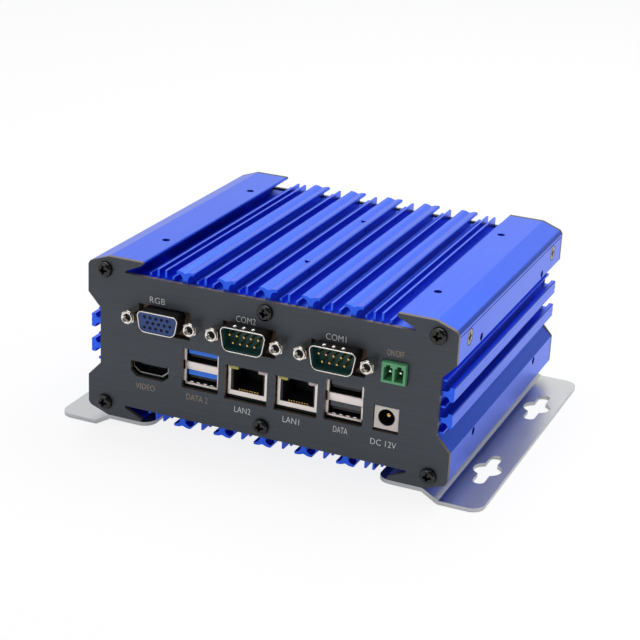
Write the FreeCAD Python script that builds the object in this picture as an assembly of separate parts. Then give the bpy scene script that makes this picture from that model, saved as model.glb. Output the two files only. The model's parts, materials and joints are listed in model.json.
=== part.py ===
import FreeCAD, Part
import math
import os

# Fanless industrial computer: a finned aluminium case on two joggled mounting
# brackets, with every connector on the front panel.  Millimetres, +Z up.
# Everything is drawn with the case's own middle at z = 0, its centre line at
# x = 0 and the front panel's outer face at y = 0.  The last step moves it all
# so that the brackets stand on z = 0 under the middle of the whole object.

V = FreeCAD.Vector
os.makedirs("parts", exist_ok=True)

# ---- driving dimensions ----------------------------------------------------

# case, over the rails and over both panels
case_width = 142.2
case_height = 62.6
case_depth = 126.1
panel_sheet = 1.6
waist_inset = 5.1            # panels between the rails, in from the rails' side faces
waist_drop = 20.4            # straight part of the waist, down from the crown
rail_face_drop = 14.9        # where the rails' side faces end
seam_drop = 5.3              # top of the tray's lip
seam_gap = 0.35              # dark line between lid and tray
field_drop = 5.15            # panels between the hooks
fin_floor_drop = 5.7         # outer face of the finned plates
side_floor_inset = 5.4       # outer face of the finned side walls
plate_wall = 2.4
side_wall = 2.2

# corner rails and their inward hooks
crown_inset = 8.3            # outer end of a rail's flat crown
crown_r = 2.0
shoulder_inset = 0.9
shoulder_drop = 2.7
shoulder_r = 1.2
side_drop = 4.1              # upper end of a rail's side face
hook_inset = 22.3
hook_thick = 1.2
hook_bevel = 0.35
hook_slope = 0.6
hook_root_inset = 15.3
hook_root_drop = 4.3

# lid skirt that stands in the tray
skirt_inset = 3.0            # outer face
skirt_inner_inset = 11.5
ledge_drop = 10.9
lip_clearance = 0.2
corner_fill = 5.2            # thick corner between the tray's wall and floor

# fins
fin_pitch = 16.2
fin_count = 5
fin_reach = 4.8
fin_head = 7.0
fin_stem = 2.0
fin_groove = 0.7
fin_edge = 1.0               # height of a head's flank
root_sink = 0.2              # roots run this far into the wall that carries them
rib_sheet = 0.8
tall_rib = 4.0
low_rib = 2.1
rib_step = 3.05
side_fin_offset = 4.9
side_fin_reach = 5.0
side_fin_head = 5.3
side_fin_stem = 1.8
side_fin_edge = 1.7
side_rib = 2.0
side_rib_offset = 9.8

# tapped holes in the case
tapped_r = 1.5
rail_hole_inset = 17.4
rail_hole_span = 72.5
rail_hole_depth = 5.3
side_hole_drop = 13.2
side_hole_span = 74.0
side_hole_depth = 5.2
fin_hole_r = 1.1
fin_hole_span = 54.8
fin_hole_depth = 6.0

# screws: pan heads on panels and brackets, flush countersunk ones in the sides
screw_r = 1.45
thread_clearance = 0.05
pan_r = 3.05
pan_height = 1.9
panel_screw_inset = 7.0
panel_screw_drop = 5.1
panel_mid_screw_drop = 9.4
panel_screw_length = 8.0
mid_boss_width = 6.4
flush_head_r = 2.95
side_screw_drop = 8.6
side_screw_inset = 12.6
side_screw_length = 8.0
port_depth = 9.0
clear_hole_gap = 0.25
shank_sides = 8
head_sides = 12

# mounting brackets: joggled sheet with double keyholes
bracket_sheet = 1.5
bracket_inner_inset = 26.1
bracket_bend_inset = 8.8
bracket_foot_inset = 2.7
bracket_overhang = 12.8
bracket_drop = 3.5
bracket_corner = 5.0
bracket_bend_r = 1.0
bracket_screw_span = 96.0
keyhole_overhang = 4.9
keyhole_span = 62.0
keyhole_r = 5.25
keyhole_slot = 4.4
keyhole_length = 25.0
bracket_screw_length = 5.0

# boards
board_sheet = 1.6
main_board_top = -12.7
main_board_side_gap = 3.5
main_board_front = 2.6
main_board_rear_gap = 8.1
upper_board_side_gap = 4.5
upper_board_rear = 38.0
standoff_flats = 5.0
standoff_inset = 6.0
standoff_front = 34.0
standoff_rear_inset = 7.0
upper_standoff_inset = 3.0
upper_standoff_front = 12.0
board_screw_flats = 4.6
board_screw_head = 1.2
board_screw_length = 5.0

# connectors with a D-shaped shell
upper_row_z = 11.3
dsub_jack_pitch = 24.99
dsub_flange_width = 30.8
dsub_flange_height = 12.5
dsub_flange_sheet = 0.8
dsub_body_depth = 10.0
dsub_reach = 5.8             # shell's rim in front of the panel
dsub_wall = 0.45
dsub_slant = 10.0
plug_width = 17.6
plug_height = 8.6
socket_width = 16.3
socket_height = 7.9
dsub_cutout_width = 20.8
dsub_cutout_height = 10.6
dsub_cutout_drop = 0.8
dsub_board_gap = 0.15
video_x = -39.7
serial_2_x = -5.95
serial_1_x = 28.2
pin_pitch = 2.77
pin_rows = 2.84
pin_r = 0.5
pin_setback = 1.4            # tips behind the shell's rim
pin_taper = 0.5
pin_length = 9.5
video_pitch = 2.29
video_rows = 1.98
video_hole_r = 0.48
video_hole_depth = 5.0
jack_hex = 4.8
jack_reach = 5.5
jack_shank = 6.0
jack_thread_r = 1.4
jack_thread_depth = 5.0
jack_clearance = 0.1

# ports of the lower row; each cutout is a little lower than its connector
port_setback = 0.2           # connector mouths behind the panel's inner face
stack_width = 13.15
stack_top = 1.9
stack_bottom = -12.1
stack_depth = 17.0
stack_wall = 0.35
stack_mouth = 5.1
stack_band = 3.1
stack_ear = 1.3
stack_tongue_width = 11.4
stack_tongue_sheet = 1.9
stack_tongue_reach = 9.0
stack_a_x = -25.1
stack_b_x = 31.0
stack_cutout = (14.7, 15.5)
stack_cutout_shift = (0.15, -0.75)

network_width = 15.6
network_height = 13.4
network_depth = 21.0
network_wall = 0.5
network_frame = 1.1          # front lip of the shield round the mouth
network_mouth = (11.9, 8.4)
network_mouth_sill = 1.75
network_cavity_depth = 12.0
network_notch = (6.6, 1.3)
network_light = (3.3, 1.7)
network_contacts = 8
network_contact_pitch = 1.02
network_2_x = -6.7
network_1_x = 12.8
network_cutout = (16.6, 13.3)
network_cutout_shift = (0.05, -1.5)

flat_x = -45.8
flat_width = 14.5
flat_height = 5.6
flat_sill = 0.6
flat_chamfer = (2.4, 2.0)
flat_depth = 11.0
flat_wall = 0.35
flat_tongue_width = 10.2
flat_tongue_sheet = 0.9
flat_cutout = (15.6, 6.0)
flat_cutout_shift = (0.3, -0.9)

power_x = 47.2
power_width = 9.0
power_height = 8.6
power_front = 0.5            # face behind the panel's outer face
power_depth = 14.0
power_bore_r = 3.15
power_bore_depth = 9.5
power_pin_r = 1.0
power_cutout = (9.5, 9.7)
power_cutout_shift = (0.0, -0.3)

switch_x = 49.5
switch_z = 9.8
switch_width = 8.8
switch_height = 7.4
switch_reach = 2.0
switch_depth = 9.2
switch_wall = 0.8
switch_pitch = 3.81
switch_pin = 0.9
switch_cavity = 7.0
switch_cutout_gap = 0.35

# inner parts on the main board
processor_x = 24.0
processor_y = 63.0
processor_size = (24.0, 20.0, 1.4)
heat_block_size = (38.0, 38.0)
heat_pad = 0.5
memory_x = 14.0
memory_size = (67.6, 30.0, 1.2)
memory_lift = 2.6
memory_rear_gap = 1.0
socket_overlap = 3.0
storage_x = -41.0
storage_front = 46.0
storage_size = (22.0, 60.0, 1.0)
storage_lift = 2.2
cell_x = -14.0
cell_y = 62.0
cell_r = 10.0
cell_sheet = 3.2
holder_wall = 1.4
coil_size = 7.0
coil_height = 4.2
coil_inset = 6.0
coil_front = 48.0
coil_gap = 3.0
capacitor_r = 3.1
capacitor_height = 8.0
capacitor_gap = 1.4
capacitor_x = -2.0
capacitor_y = 79.0
link_width = 40.0
link_depth = 5.0
link_y = 31.0

# ---- values that follow ----------------------------------------------------

half_depth = case_depth / 2
extrusion_front = panel_sheet
extrusion_length = case_depth - 2 * panel_sheet
crown = case_height / 2
rail_half = case_width / 2
waist_half = rail_half - waist_inset
waist_level = crown - waist_drop
rail_face = crown - rail_face_drop
seam_level = crown - seam_drop
field_level = crown - field_drop
fin_floor = crown - fin_floor_drop
side_floor = rail_half - side_floor_inset
crown_half = rail_half - crown_inset
shoulder_half = rail_half - shoulder_inset
shoulder_level = crown - shoulder_drop
side_level = crown - side_drop
hook_tip = rail_half - hook_inset
hook_root = rail_half - hook_root_inset
hook_root_level = crown - hook_root_drop
skirt_half = rail_half - skirt_inset
skirt_inner = rail_half - skirt_inner_inset
ledge_level = crown - ledge_drop
rail_hole_x = rail_half - rail_hole_inset
side_hole_level = crown - side_hole_drop
panel_screw_x = rail_half - panel_screw_inset
panel_screw_z = crown - panel_screw_drop
panel_mid_screw_z = crown - panel_mid_screw_drop
side_screw_z = crown - side_screw_drop
plate_inner = fin_floor - plate_wall
wall_inner = side_floor - side_wall
port_r = screw_r + thread_clearance
clear_hole_r = screw_r + clear_hole_gap
bracket_inner = rail_half - bracket_inner_inset
bracket_bend = rail_half - bracket_bend_inset
bracket_foot = rail_half - bracket_foot_inset
bracket_outer = rail_half + bracket_overhang
keyhole_x = rail_half + keyhole_overhang
main_board_half = wall_inner - main_board_side_gap
main_board_rear = case_depth - main_board_rear_gap
upper_board_half = wall_inner - upper_board_side_gap
standoff_x = main_board_half - standoff_inset
standoff_rear = main_board_rear - standoff_rear_inset
upper_standoff_x = upper_board_half - upper_standoff_inset
memory_rear = main_board_rear - memory_rear_gap
coil_x = main_board_half - coil_inset
main_board_bottom = main_board_top - board_sheet
upper_board_top = upper_row_z - dsub_flange_height / 2 - dsub_board_gap
upper_board_bottom = upper_board_top - board_sheet
mouth_y = panel_sheet + port_setback
foot_level = crown + bracket_drop + bracket_sheet


def about_middle(span):
    """Two places, that far apart, about the middle of the case's depth."""
    return [half_depth - span / 2, half_depth + span / 2]


# ---- drawing helpers -------------------------------------------------------

def corner_wire(points, to_space):
    """Closed wire through (a, b) or (a, b, radius) corners, arcs at the radii."""
    flat = [FreeCAD.Vector(p[0], p[1], 0) for p in points]
    radii = [p[2] if len(p) > 2 else 0.0 for p in points]
    entries, exits, middles = [], [], []
    for i, here in enumerate(flat):
        back = (flat[i - 1] - here).normalize()
        ahead = (flat[(i + 1) % len(flat)] - here).normalize()
        if radii[i] == 0.0:
            entries.append(here)
            exits.append(here)
            middles.append(None)
            continue
        half_turn = back.getAngle(ahead) / 2
        run = radii[i] / math.tan(half_turn)
        entries.append(here + back * run)
        exits.append(here + ahead * run)
        bisector = (back + ahead).normalize()
        middles.append(here + bisector * (radii[i] / math.sin(half_turn) - radii[i]))
    edges = []
    for i in range(len(flat)):
        if middles[i] is not None:
            arc = Part.Arc(to_space(entries[i]), to_space(middles[i]), to_space(exits[i]))
            edges.append(arc.toShape())
        start = exits[i]
        end = entries[(i + 1) % len(flat)]
        if start.distanceToPoint(end) > 1e-6:
            edges.append(Part.makeLine(to_space(start), to_space(end)))
    return Part.Wire(edges)


def section(points, y, length):
    """Outline in x and z, drawn at y and extruded backwards along +Y."""
    wire = corner_wire(points, lambda p: V(p.x, y, p.y))
    return Part.Face(wire).extrude(V(0, length, 0))


def sheet(points, z, height):
    """Outline in x and y, drawn at z and raised along +Z."""
    wire = corner_wire(points, lambda p: V(p.x, p.y, z))
    return Part.Face(wire).extrude(V(0, 0, height))


def block(x0, x1, y0, y1, z0, z1):
    return Part.makeBox(x1 - x0, y1 - y0, z1 - z0, V(x0, y0, z0))


def centred(x, size_x, y, size_y, z, size_z):
    """Block centred on x and y, standing on z."""
    return block(x - size_x / 2, x + size_x / 2, y - size_y / 2, y + size_y / 2, z, z + size_z)


def rod(r, length, at, along):
    return Part.makeCylinder(r, length, at, along)


def prism(r, length, at, along, sides=shank_sides):
    """Regular prism in a circle of radius r: plain shanks, heads and the holes for them."""
    corners = [math.radians(360 * i / sides) for i in range(sides)]
    ring = [V(r * math.cos(corner), r * math.sin(corner), 0) for corner in corners]
    solid = Part.Face(Part.makePolygon(ring + ring[:1])).extrude(V(0, 0, length))
    solid.Placement = FreeCAD.Placement(at, FreeCAD.Rotation(V(0, 0, 1), along))
    return solid


def cone_seat(at, along):
    """Taper under a flush head, wide end at the given point, narrowing along the direction."""
    rings = []
    for r, depth in ((flush_head_r, 0), (screw_r, flush_head_r - screw_r)):
        corners = [math.radians(360 * i / shank_sides) for i in range(shank_sides)]
        ring = [V(r * math.cos(corner), r * math.sin(corner), depth) for corner in corners]
        rings.append(Part.makePolygon(ring + ring[:1]))
    solid = Part.makeLoft(rings, True, True)
    solid.Placement = FreeCAD.Placement(at, FreeCAD.Rotation(V(0, 0, 1), along))
    return solid


def rectangle(x, z, size, r=0.0):
    half_x, half_z = size[0] / 2, size[1] / 2
    return [(x - half_x, z - half_z, r), (x + half_x, z - half_z, r),
            (x + half_x, z + half_z, r), (x - half_x, z + half_z, r)]


def hexagon(a, b, flats, turn=0):
    """Corners of a hexagon of the given width across its flats."""
    r = flats / math.sqrt(3)
    angles = [math.radians(60 * i + turn) for i in range(6)]
    return [(a + r * math.cos(angle), b + r * math.sin(angle)) for angle in angles]


def mirrored(shape):
    return shape.mirror(V(0, 0, 0), V(1, 0, 0))


def flipped(shape):
    return shape.mirror(V(0, 0, 0), V(0, 0, 1))


def both_sides(shape):
    return [shape, mirrored(shape)]


def joined(shapes):
    return shapes[0].fuse(shapes[1:]).removeSplitter()


# ---- screws ----------------------------------------------------------------

def pan_screw(length):
    """Pan-head screw: seat at z = 0, head up, shank down."""
    head = prism(pan_r, pan_height, V(0, 0, 0), V(0, 0, 1), head_sides)
    return joined([head, prism(screw_r, length, V(0, 0, -length), V(0, 0, 1))])


def flush_screw(length):
    """Countersunk screw: flat head at z = 0, shank down."""
    head = cone_seat(V(0, 0, 0), V(0, 0, -1))
    return joined([head, prism(screw_r, length - 0.5, V(0, 0, -length), V(0, 0, 1))])


def turned(shape, axis, angle, at):
    """Copy of a shape turned about an axis through the origin, then put in place."""
    copy = shape.copy()
    copy.rotate(V(0, 0, 0), axis, angle)
    copy.translate(at)
    return copy


def panel_screw_places():
    places = [(sx * panel_screw_x, sz * panel_screw_z) for sx in (-1, 1) for sz in (-1, 1)]
    return places + [(0, panel_mid_screw_z), (0, -panel_mid_screw_z)]


# ---- case ------------------------------------------------------------------

def t_fin(reach, head, stem, edge, groove):
    """Fin with a grooved T head, root at z = 0 (sunk a little), extruded along the case."""
    half_head, half_stem = head / 2, stem / 2
    waist = reach * 0.34
    under = reach - edge
    bow = V(half_stem + (half_head - half_stem) * 0.26, 0, waist + (under - waist) * 0.72)
    right = [V(half_stem, 0, -root_sink), V(half_stem, 0, waist)]
    edges = [Part.makeLine(V(-half_stem, 0, -root_sink), right[0]), Part.makeLine(*right)]
    edges.append(Part.Arc(right[1], bow, V(half_head, 0, under)).toShape())
    top = [V(half_head, 0, under), V(half_head, 0, reach - 0.3), V(half_head - 0.4, 0, reach),
           V(half_head * 0.45, 0, reach - 0.1), V(0, 0, reach - groove),
           V(-half_head * 0.45, 0, reach - 0.1), V(-half_head + 0.4, 0, reach),
           V(-half_head, 0, reach - 0.3), V(-half_head, 0, under)]
    edges += [Part.makeLine(a, b) for a, b in zip(top, top[1:])]
    left_bow = V(-bow.x, 0, bow.z)
    edges.append(Part.Arc(top[-1], left_bow, V(-half_stem, 0, waist)).toShape())
    edges.append(Part.makeLine(V(-half_stem, 0, waist), V(-half_stem, 0, -root_sink)))
    fin = Part.Face(Part.Wire(edges)).extrude(V(0, extrusion_length, 0))
    fin.translate(V(0, extrusion_front, 0))
    return fin


def plain_rib(x, height):
    return block(x - rib_sheet / 2, x + rib_sheet / 2, extrusion_front,
                 extrusion_front + extrusion_length, fin_floor - root_sink, fin_floor + height)


def plate_fins():
    """The whole row of T fins and plain ribs, standing on the finned plate."""
    one_fin = t_fin(fin_reach, fin_head, fin_stem, fin_edge, fin_groove)
    side = fin_count // 2
    fins = []
    for i in range(-side, side + 1):
        fin = one_fin.copy()
        fin.translate(V(i * fin_pitch, 0, fin_floor))
        fins.append(fin)
    ribs = []
    for i in range(-side, side):
        middle = (i + 0.5) * fin_pitch
        for offset, height in ((-rib_step, low_rib), (0, tall_rib), (rib_step, low_rib)):
            ribs.append(plain_rib(middle + offset, height))
    first = (side + 0.5) * fin_pitch - rib_step - rib_sheet / 2
    for i, height in enumerate((low_rib, tall_rib, tall_rib, low_rib)):
        for x in (first + i * rib_step, -first - i * rib_step):
            ribs.append(plain_rib(x, height))
    return fins + ribs


def hook_points():
    """Outline of a right-hand rail from its root, round the hook, to its side face."""
    return [(hook_root, fin_floor - root_sink), (hook_root, hook_root_level),
            (hook_tip + hook_slope, crown - hook_thick - root_sink),
            (hook_tip, crown - hook_thick * 0.6), (hook_tip, crown - hook_bevel),
            (hook_tip + hook_bevel, crown), (crown_half, crown, crown_r),
            (shoulder_half, shoulder_level, shoulder_r), (rail_half, side_level)]


def plate(level):
    """Finned plate between the two rails, its lower face at the given level."""
    half = hook_root + root_sink
    return block(-half, half, extrusion_front, extrusion_front + extrusion_length,
                 level, level + plate_wall)


def mid_boss(low, high):
    """Thick rib along the plate's middle, tapped at both ends for the panels."""
    half = mid_boss_width / 2
    return block(-half, half, extrusion_front, extrusion_front + extrusion_length, low, high)


def top_cover():
    edge = seam_level + seam_gap
    rail = section(hook_points() + [(rail_half, edge), (skirt_half, edge),
                                    (skirt_half, ledge_level), (skirt_inner, ledge_level),
                                    (skirt_inner, plate_inner), (hook_root, plate_inner)],
                   extrusion_front, extrusion_length)
    boss = mid_boss(panel_mid_screw_z - mid_boss_width / 2, plate_inner + root_sink)
    lid = joined([plate(plate_inner), boss] + both_sides(rail) + plate_fins())
    cuts = screw_ports([(panel_screw_x, panel_screw_z), (-panel_screw_x, panel_screw_z),
                        (0, panel_mid_screw_z)])
    for sx in (-1, 1):
        cuts += [rod(tapped_r, crown, V(sx * rail_hole_x, y, crown - rail_hole_depth), V(0, 0, 1))
                 for y in about_middle(rail_hole_span)]
        for y in side_screw_y():
            start = V(sx * (rail_half - side_screw_length - 0.5), y, side_screw_z)
            cuts.append(prism(port_r, side_screw_length, start, V(sx, 0, 0)))
    cuts += [rod(fin_hole_r, fin_hole_depth, V(0, y, fin_floor + fin_reach - fin_hole_depth),
                 V(0, 0, 1)) for y in about_middle(fin_hole_span)]
    return lid.cut(cuts)


def screw_ports(places):
    """Tapped ends for the panels' screws, in both ends of an extrusion."""
    ports = []
    for x, z in places:
        ports.append(prism(port_r, port_depth, V(x, 0, z), V(0, 1, 0)))
        ports.append(prism(port_r, port_depth, V(x, case_depth, z), V(0, -1, 0)))
    return ports


def side_screw_y():
    return [side_screw_inset, case_depth - side_screw_inset]


def base_tray():
    lip = skirt_half + lip_clearance
    lower = [(x, -z, *r) for x, z, *r in hook_points()]
    wall = section(lower + [(rail_half, -rail_face), (side_floor, -waist_level),
                            (side_floor, waist_level), (rail_half, rail_face),
                            (rail_half, seam_level), (lip, seam_level), (lip, ledge_level),
                            (wall_inner, ledge_level), (wall_inner, corner_fill - plate_inner),
                            (skirt_inner, -plate_inner), (hook_root, -plate_inner)],
                   extrusion_front, extrusion_length)
    boss = mid_boss(-plate_inner - root_sink, mid_boss_width / 2 - panel_mid_screw_z)
    side_fin = t_fin(side_fin_reach, side_fin_head, side_fin_stem, side_fin_edge, 0.0)
    side_fins = [turned(side_fin, V(0, 1, 0), 90, V(side_floor, 0, z))
                 for z in (side_fin_offset, -side_fin_offset)]
    for z in (side_rib_offset, 0, -side_rib_offset):
        side_fins.append(block(side_floor - root_sink, side_floor + side_rib, extrusion_front,
                               extrusion_front + extrusion_length,
                               z - rib_sheet / 2, z + rib_sheet / 2))
    one_side = joined([wall] + side_fins)
    tray = joined([plate(-fin_floor), boss] + both_sides(one_side)
                  + [flipped(fin) for fin in plate_fins()])
    cuts = screw_ports([(panel_screw_x, -panel_screw_z), (-panel_screw_x, -panel_screw_z),
                        (0, -panel_mid_screw_z)])
    for sx in (-1, 1):
        cuts += [prism(port_r, crown, V(sx * rail_hole_x, y, rail_hole_depth - crown), V(0, 0, -1))
                 for y in about_middle(bracket_screw_span)]
        for y in about_middle(side_hole_span):
            for z in (side_hole_level, -side_hole_level):
                cuts.append(rod(tapped_r, side_hole_depth + 1,
                                V(sx * (rail_half + 1), y, z), V(-sx, 0, 0)))
        for y in side_screw_y():
            cuts.append(prism(port_r, rail_half, V(sx * (lip - 0.5), y, side_screw_z), V(sx, 0, 0)))
            cuts.append(cone_seat(V(sx * rail_half, y, side_screw_z), V(-sx, 0, 0)))
    return tray.cut(cuts)


def panel_blank(y):
    """Cut sheet with the same outline as the two extrusions together."""
    upper = [(hook_root, field_level)] + hook_points()[1:]
    upper += [(rail_half, rail_face), (waist_half, waist_level)]
    lower = [(x, -z, *r) for x, z, *r in reversed(upper)]
    right = upper + lower
    left = [(-x, z, *r) for x, z, *r in reversed(right)]
    return section(right + left, y, panel_sheet)


def screw_holes(y):
    return [prism(clear_hole_r, 3 * panel_sheet, V(x, y - panel_sheet, z), V(0, 1, 0))
            for x, z in panel_screw_places()]


def rear_panel():
    y = case_depth - panel_sheet
    return panel_blank(y).cut(screw_holes(y))


def cutout(x, z, size, r, shift=(0.0, 0.0)):
    return section(rectangle(x + shift[0], z + shift[1], size, r), -0.1, panel_sheet + 0.2)


def jack_holes(x):
    """Clear holes for a connector's two screw locks, through the panel and its flange."""
    return [prism(jack_thread_r + jack_clearance, 3 * panel_sheet,
                  V(x + s * dsub_jack_pitch / 2, -0.5, upper_row_z), V(0, 1, 0)) for s in (-1, 1)]


def front_panel():
    cuts = screw_holes(0)
    for x in (video_x, serial_2_x, serial_1_x):
        cuts.append(cutout(x, upper_row_z, (dsub_cutout_width, dsub_cutout_height), 0.0,
                           (0.0, -dsub_cutout_drop)))
        cuts += jack_holes(x)
    stack_z = (stack_top + stack_bottom) / 2
    for x in (stack_a_x, stack_b_x):
        cuts.append(cutout(x, stack_z, stack_cutout, 0.8, stack_cutout_shift))
    for x in (network_1_x, network_2_x):
        cuts.append(cutout(x, main_board_top + network_height / 2, network_cutout, 0.0,
                           network_cutout_shift))
    cuts.append(section(flat_outline(flat_cutout, flat_cutout_shift, 0.0), -0.1, panel_sheet + 0.2))
    cuts.append(cutout(power_x, main_board_top + power_height / 2, power_cutout, 0.0,
                       power_cutout_shift))
    cuts.append(cutout(switch_x, switch_z, (switch_width + 2 * switch_cutout_gap,
                                            switch_height + 2 * switch_cutout_gap), 0.0))
    return panel_blank(0).cut(cuts)


def mounting_bracket():
    """Right-hand bracket: flange under the rail, joggle, foot with two double keyholes."""
    top = -crown
    low = top - bracket_drop
    slope = math.atan2(bracket_drop, bracket_foot - bracket_bend)
    lag = bracket_sheet * math.tan(slope / 2)
    r = bracket_bend_r
    outer_r = r + bracket_sheet
    profile = [(bracket_inner, top), (bracket_bend, top, outer_r), (bracket_foot, low, r),
               (bracket_outer, low), (bracket_outer, low - bracket_sheet),
               (bracket_foot - lag, low - bracket_sheet, outer_r),
               (bracket_bend - lag, top - bracket_sheet, r), (bracket_inner, top - bracket_sheet)]
    strip = section(profile, 0, case_depth)
    plan = sheet([(bracket_inner, 0, bracket_corner), (bracket_outer, 0, bracket_corner),
                  (bracket_outer, case_depth, bracket_corner),
                  (bracket_inner, case_depth, bracket_corner)], -foot_level - 1, 8)
    bracket = strip.common(plan)
    cuts = [prism(clear_hole_r, 3 * bracket_sheet, V(rail_hole_x, y, top - 2 * bracket_sheet),
                  V(0, 0, 1)) for y in about_middle(bracket_screw_span)]
    slot_r = keyhole_slot / 2
    for y in about_middle(keyhole_span):
        centre = V(keyhole_x, y, -foot_level - 1)
        cuts.append(rod(keyhole_r, 4, centre, V(0, 0, 1)))
        slot = [(keyhole_x - slot_r, y - keyhole_length / 2, slot_r * 0.98),
                (keyhole_x + slot_r, y - keyhole_length / 2, slot_r * 0.98),
                (keyhole_x + slot_r, y + keyhole_length / 2, slot_r * 0.98),
                (keyhole_x - slot_r, y + keyhole_length / 2, slot_r * 0.98)]
        cuts.append(sheet(slot, -foot_level - 1, 4))
    return bracket.cut(cuts)


# ---- D-shaped connectors ---------------------------------------------------

def d_outline(x, width, height, r):
    lean = height * math.tan(math.radians(dsub_slant)) / 2
    half = width / 2
    half_height = height / 2
    z = upper_row_z
    return [(x - half + 2 * lean, z - half_height, r), (x + half - 2 * lean, z - half_height, r),
            (x + half, z + half_height, r), (x - half, z + half_height, r)]


def d_shell(x, width, height):
    """Drawn shell with its flange clamped behind the panel."""
    flange_y = panel_sheet
    flange = section(rectangle(x, upper_row_z, (dsub_flange_width, dsub_flange_height), 1.2),
                     flange_y, dsub_flange_sheet)
    tube_length = dsub_reach + flange_y + dsub_flange_sheet
    outer = section(d_outline(x, width, height, 2.6), -dsub_reach, tube_length)
    shell = joined([flange, outer])
    inner = section(d_outline(x, width - 2 * dsub_wall, height - 2 * dsub_wall, 2.6 - dsub_wall),
                    -dsub_reach - 0.1, tube_length + 0.2)
    return shell.cut([inner] + jack_holes(x))


def d_body(x):
    """Moulded block behind the flange, standing on the upper board."""
    y = panel_sheet + dsub_flange_sheet
    body = section(rectangle(x, upper_row_z - dsub_board_gap / 2,
                             (dsub_jack_pitch - 6, dsub_flange_height + dsub_board_gap), 0.8),
                   y, dsub_body_depth)
    return body


def jackscrew(x):
    """Hexagonal female screw lock in front of the panel, its shank through the flange."""
    nut = section(hexagon(x, upper_row_z, jack_hex, 30), -jack_reach, jack_reach)
    shank = prism(jack_thread_r, jack_shank, V(x, -0.2, upper_row_z), V(0, 1, 0))
    bore = rod(jack_thread_r, jack_thread_depth, V(x, -jack_reach - 0.1, upper_row_z), V(0, 1, 0))
    return joined([nut, shank]).cut(bore)


def jackscrews(x):
    return [jackscrew(x + s * dsub_jack_pitch / 2) for s in (-1, 1)]


def pin_grid(x, pitch, rows, counts, shift):
    """Contact places of a connector face, top row first."""
    places = []
    for row, count in enumerate(counts):
        z = upper_row_z + ((len(counts) - 1) / 2 - row) * rows
        start = x - (count - 1) * pitch / 2 + (shift if row % 2 else 0)
        places += [(start + i * pitch, z) for i in range(count)]
    return places


def serial_insulator(x):
    """Dark moulding: a shallow floor inside the shell and the block behind it."""
    inner_wall = dsub_wall + 0.05
    floor = section(d_outline(x, plug_width - 2 * inner_wall, plug_height - 2 * inner_wall,
                              2.6 - inner_wall), 0.4, panel_sheet + dsub_flange_sheet - 0.2)
    body = joined([floor, d_body(x)])
    return body.cut([section(hexagon(px, pz, 2 * pin_r), 0.3, dsub_body_depth)
                     for px, pz in serial_places(x)])


def serial_places(x):
    return pin_grid(x, pin_pitch, pin_rows, (5, 4), 0)


def serial_pins(x):
    """Contact pins, just below the shell's rim, held in the insulator."""
    front = pin_setback - dsub_reach
    pins = []
    for px, pz in serial_places(x):
        stem = section(hexagon(px, pz, 2 * pin_r), front + pin_taper, pin_length)
        tip = Part.makeLoft([Part.makePolygon([V(a, y, b) for a, b in ring + ring[:1]])
                             for ring, y in ((hexagon(px, pz, pin_r), front),
                                             (hexagon(px, pz, 2 * pin_r), front + pin_taper))],
                            True, True)
        pins.append(joined([tip, stem]))
    return pins


def video_insulator(x):
    """Moulding that fills the shell, with three rows of sockets."""
    inner_wall = dsub_wall + 0.05
    face = section(d_outline(x, socket_width - 2 * inner_wall, socket_height - 2 * inner_wall,
                             2.6 - inner_wall), -dsub_reach + 0.35,
                   dsub_reach - 0.35 + panel_sheet + dsub_flange_sheet + 0.2)
    body = joined([face, d_body(x)])
    return body.cut([section(hexagon(px, pz, 2 * video_hole_r), -dsub_reach, video_hole_depth)
                     for px, pz in pin_grid(x - video_pitch / 4, video_pitch, video_rows, (5, 5, 5),
                                            video_pitch / 2)])


# ---- lower row of connectors ------------------------------------------------

def stacked_shell(x):
    """Plated cage of two ports, one above the other, with flared side ears."""
    mid = (stack_top + stack_bottom) / 2
    cage = section(rectangle(x, mid, (stack_width, stack_top - stack_bottom), 0.5),
                   mouth_y, stack_depth)
    foot = block(x - stack_width / 2, x + stack_width / 2, mouth_y + 4, mouth_y + stack_depth,
                 main_board_top, stack_bottom + 0.3)
    ears = []
    for s in (-1, 1):
        for z in stack_mouths():
            edge = x + s * stack_width / 2
            low, high = sorted((edge - s * 0.2, edge + s * stack_ear))
            ears.append(block(low, high, mouth_y, mouth_y + stack_wall,
                              z - stack_mouth / 2, z + stack_mouth / 2 - 0.2))
    body = joined([cage, foot] + ears)
    mouths = [section(rectangle(x, z, (stack_width - 2 * stack_wall, stack_mouth)),
                      mouth_y - 0.1, stack_depth - 3) for z in stack_mouths()]
    return body.cut(mouths)


def stack_mouth_level(top):
    gap = stack_band / 2 + stack_mouth / 2
    mid = (stack_top + stack_bottom) / 2
    return mid + gap if top else mid - gap


def stack_mouths():
    return [stack_mouth_level(True), stack_mouth_level(False)]


def stacked_tongues(x):
    """Contact tongue of each port, held in the moulding at the cage's back."""
    back = mouth_y + stack_depth - 3.1
    tongues = []
    for z in stack_mouths():
        tongue = block(x - stack_tongue_width / 2, x + stack_tongue_width / 2,
                       back - stack_tongue_reach - 4.0, back, z + 0.25, z + 0.25 + stack_tongue_sheet)
        plug = block(x - stack_width / 2 + stack_wall, x + stack_width / 2 - stack_wall,
                     back - 4.0, back, z - stack_mouth / 2, z + stack_mouth / 2)
        tongues.append(joined([tongue, plug]))
    return tongues


def network_mouth_z():
    return main_board_top + network_mouth_sill + network_mouth[1] / 2


def network_mouth_top():
    return main_board_top + network_mouth_sill + network_mouth[1]


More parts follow.
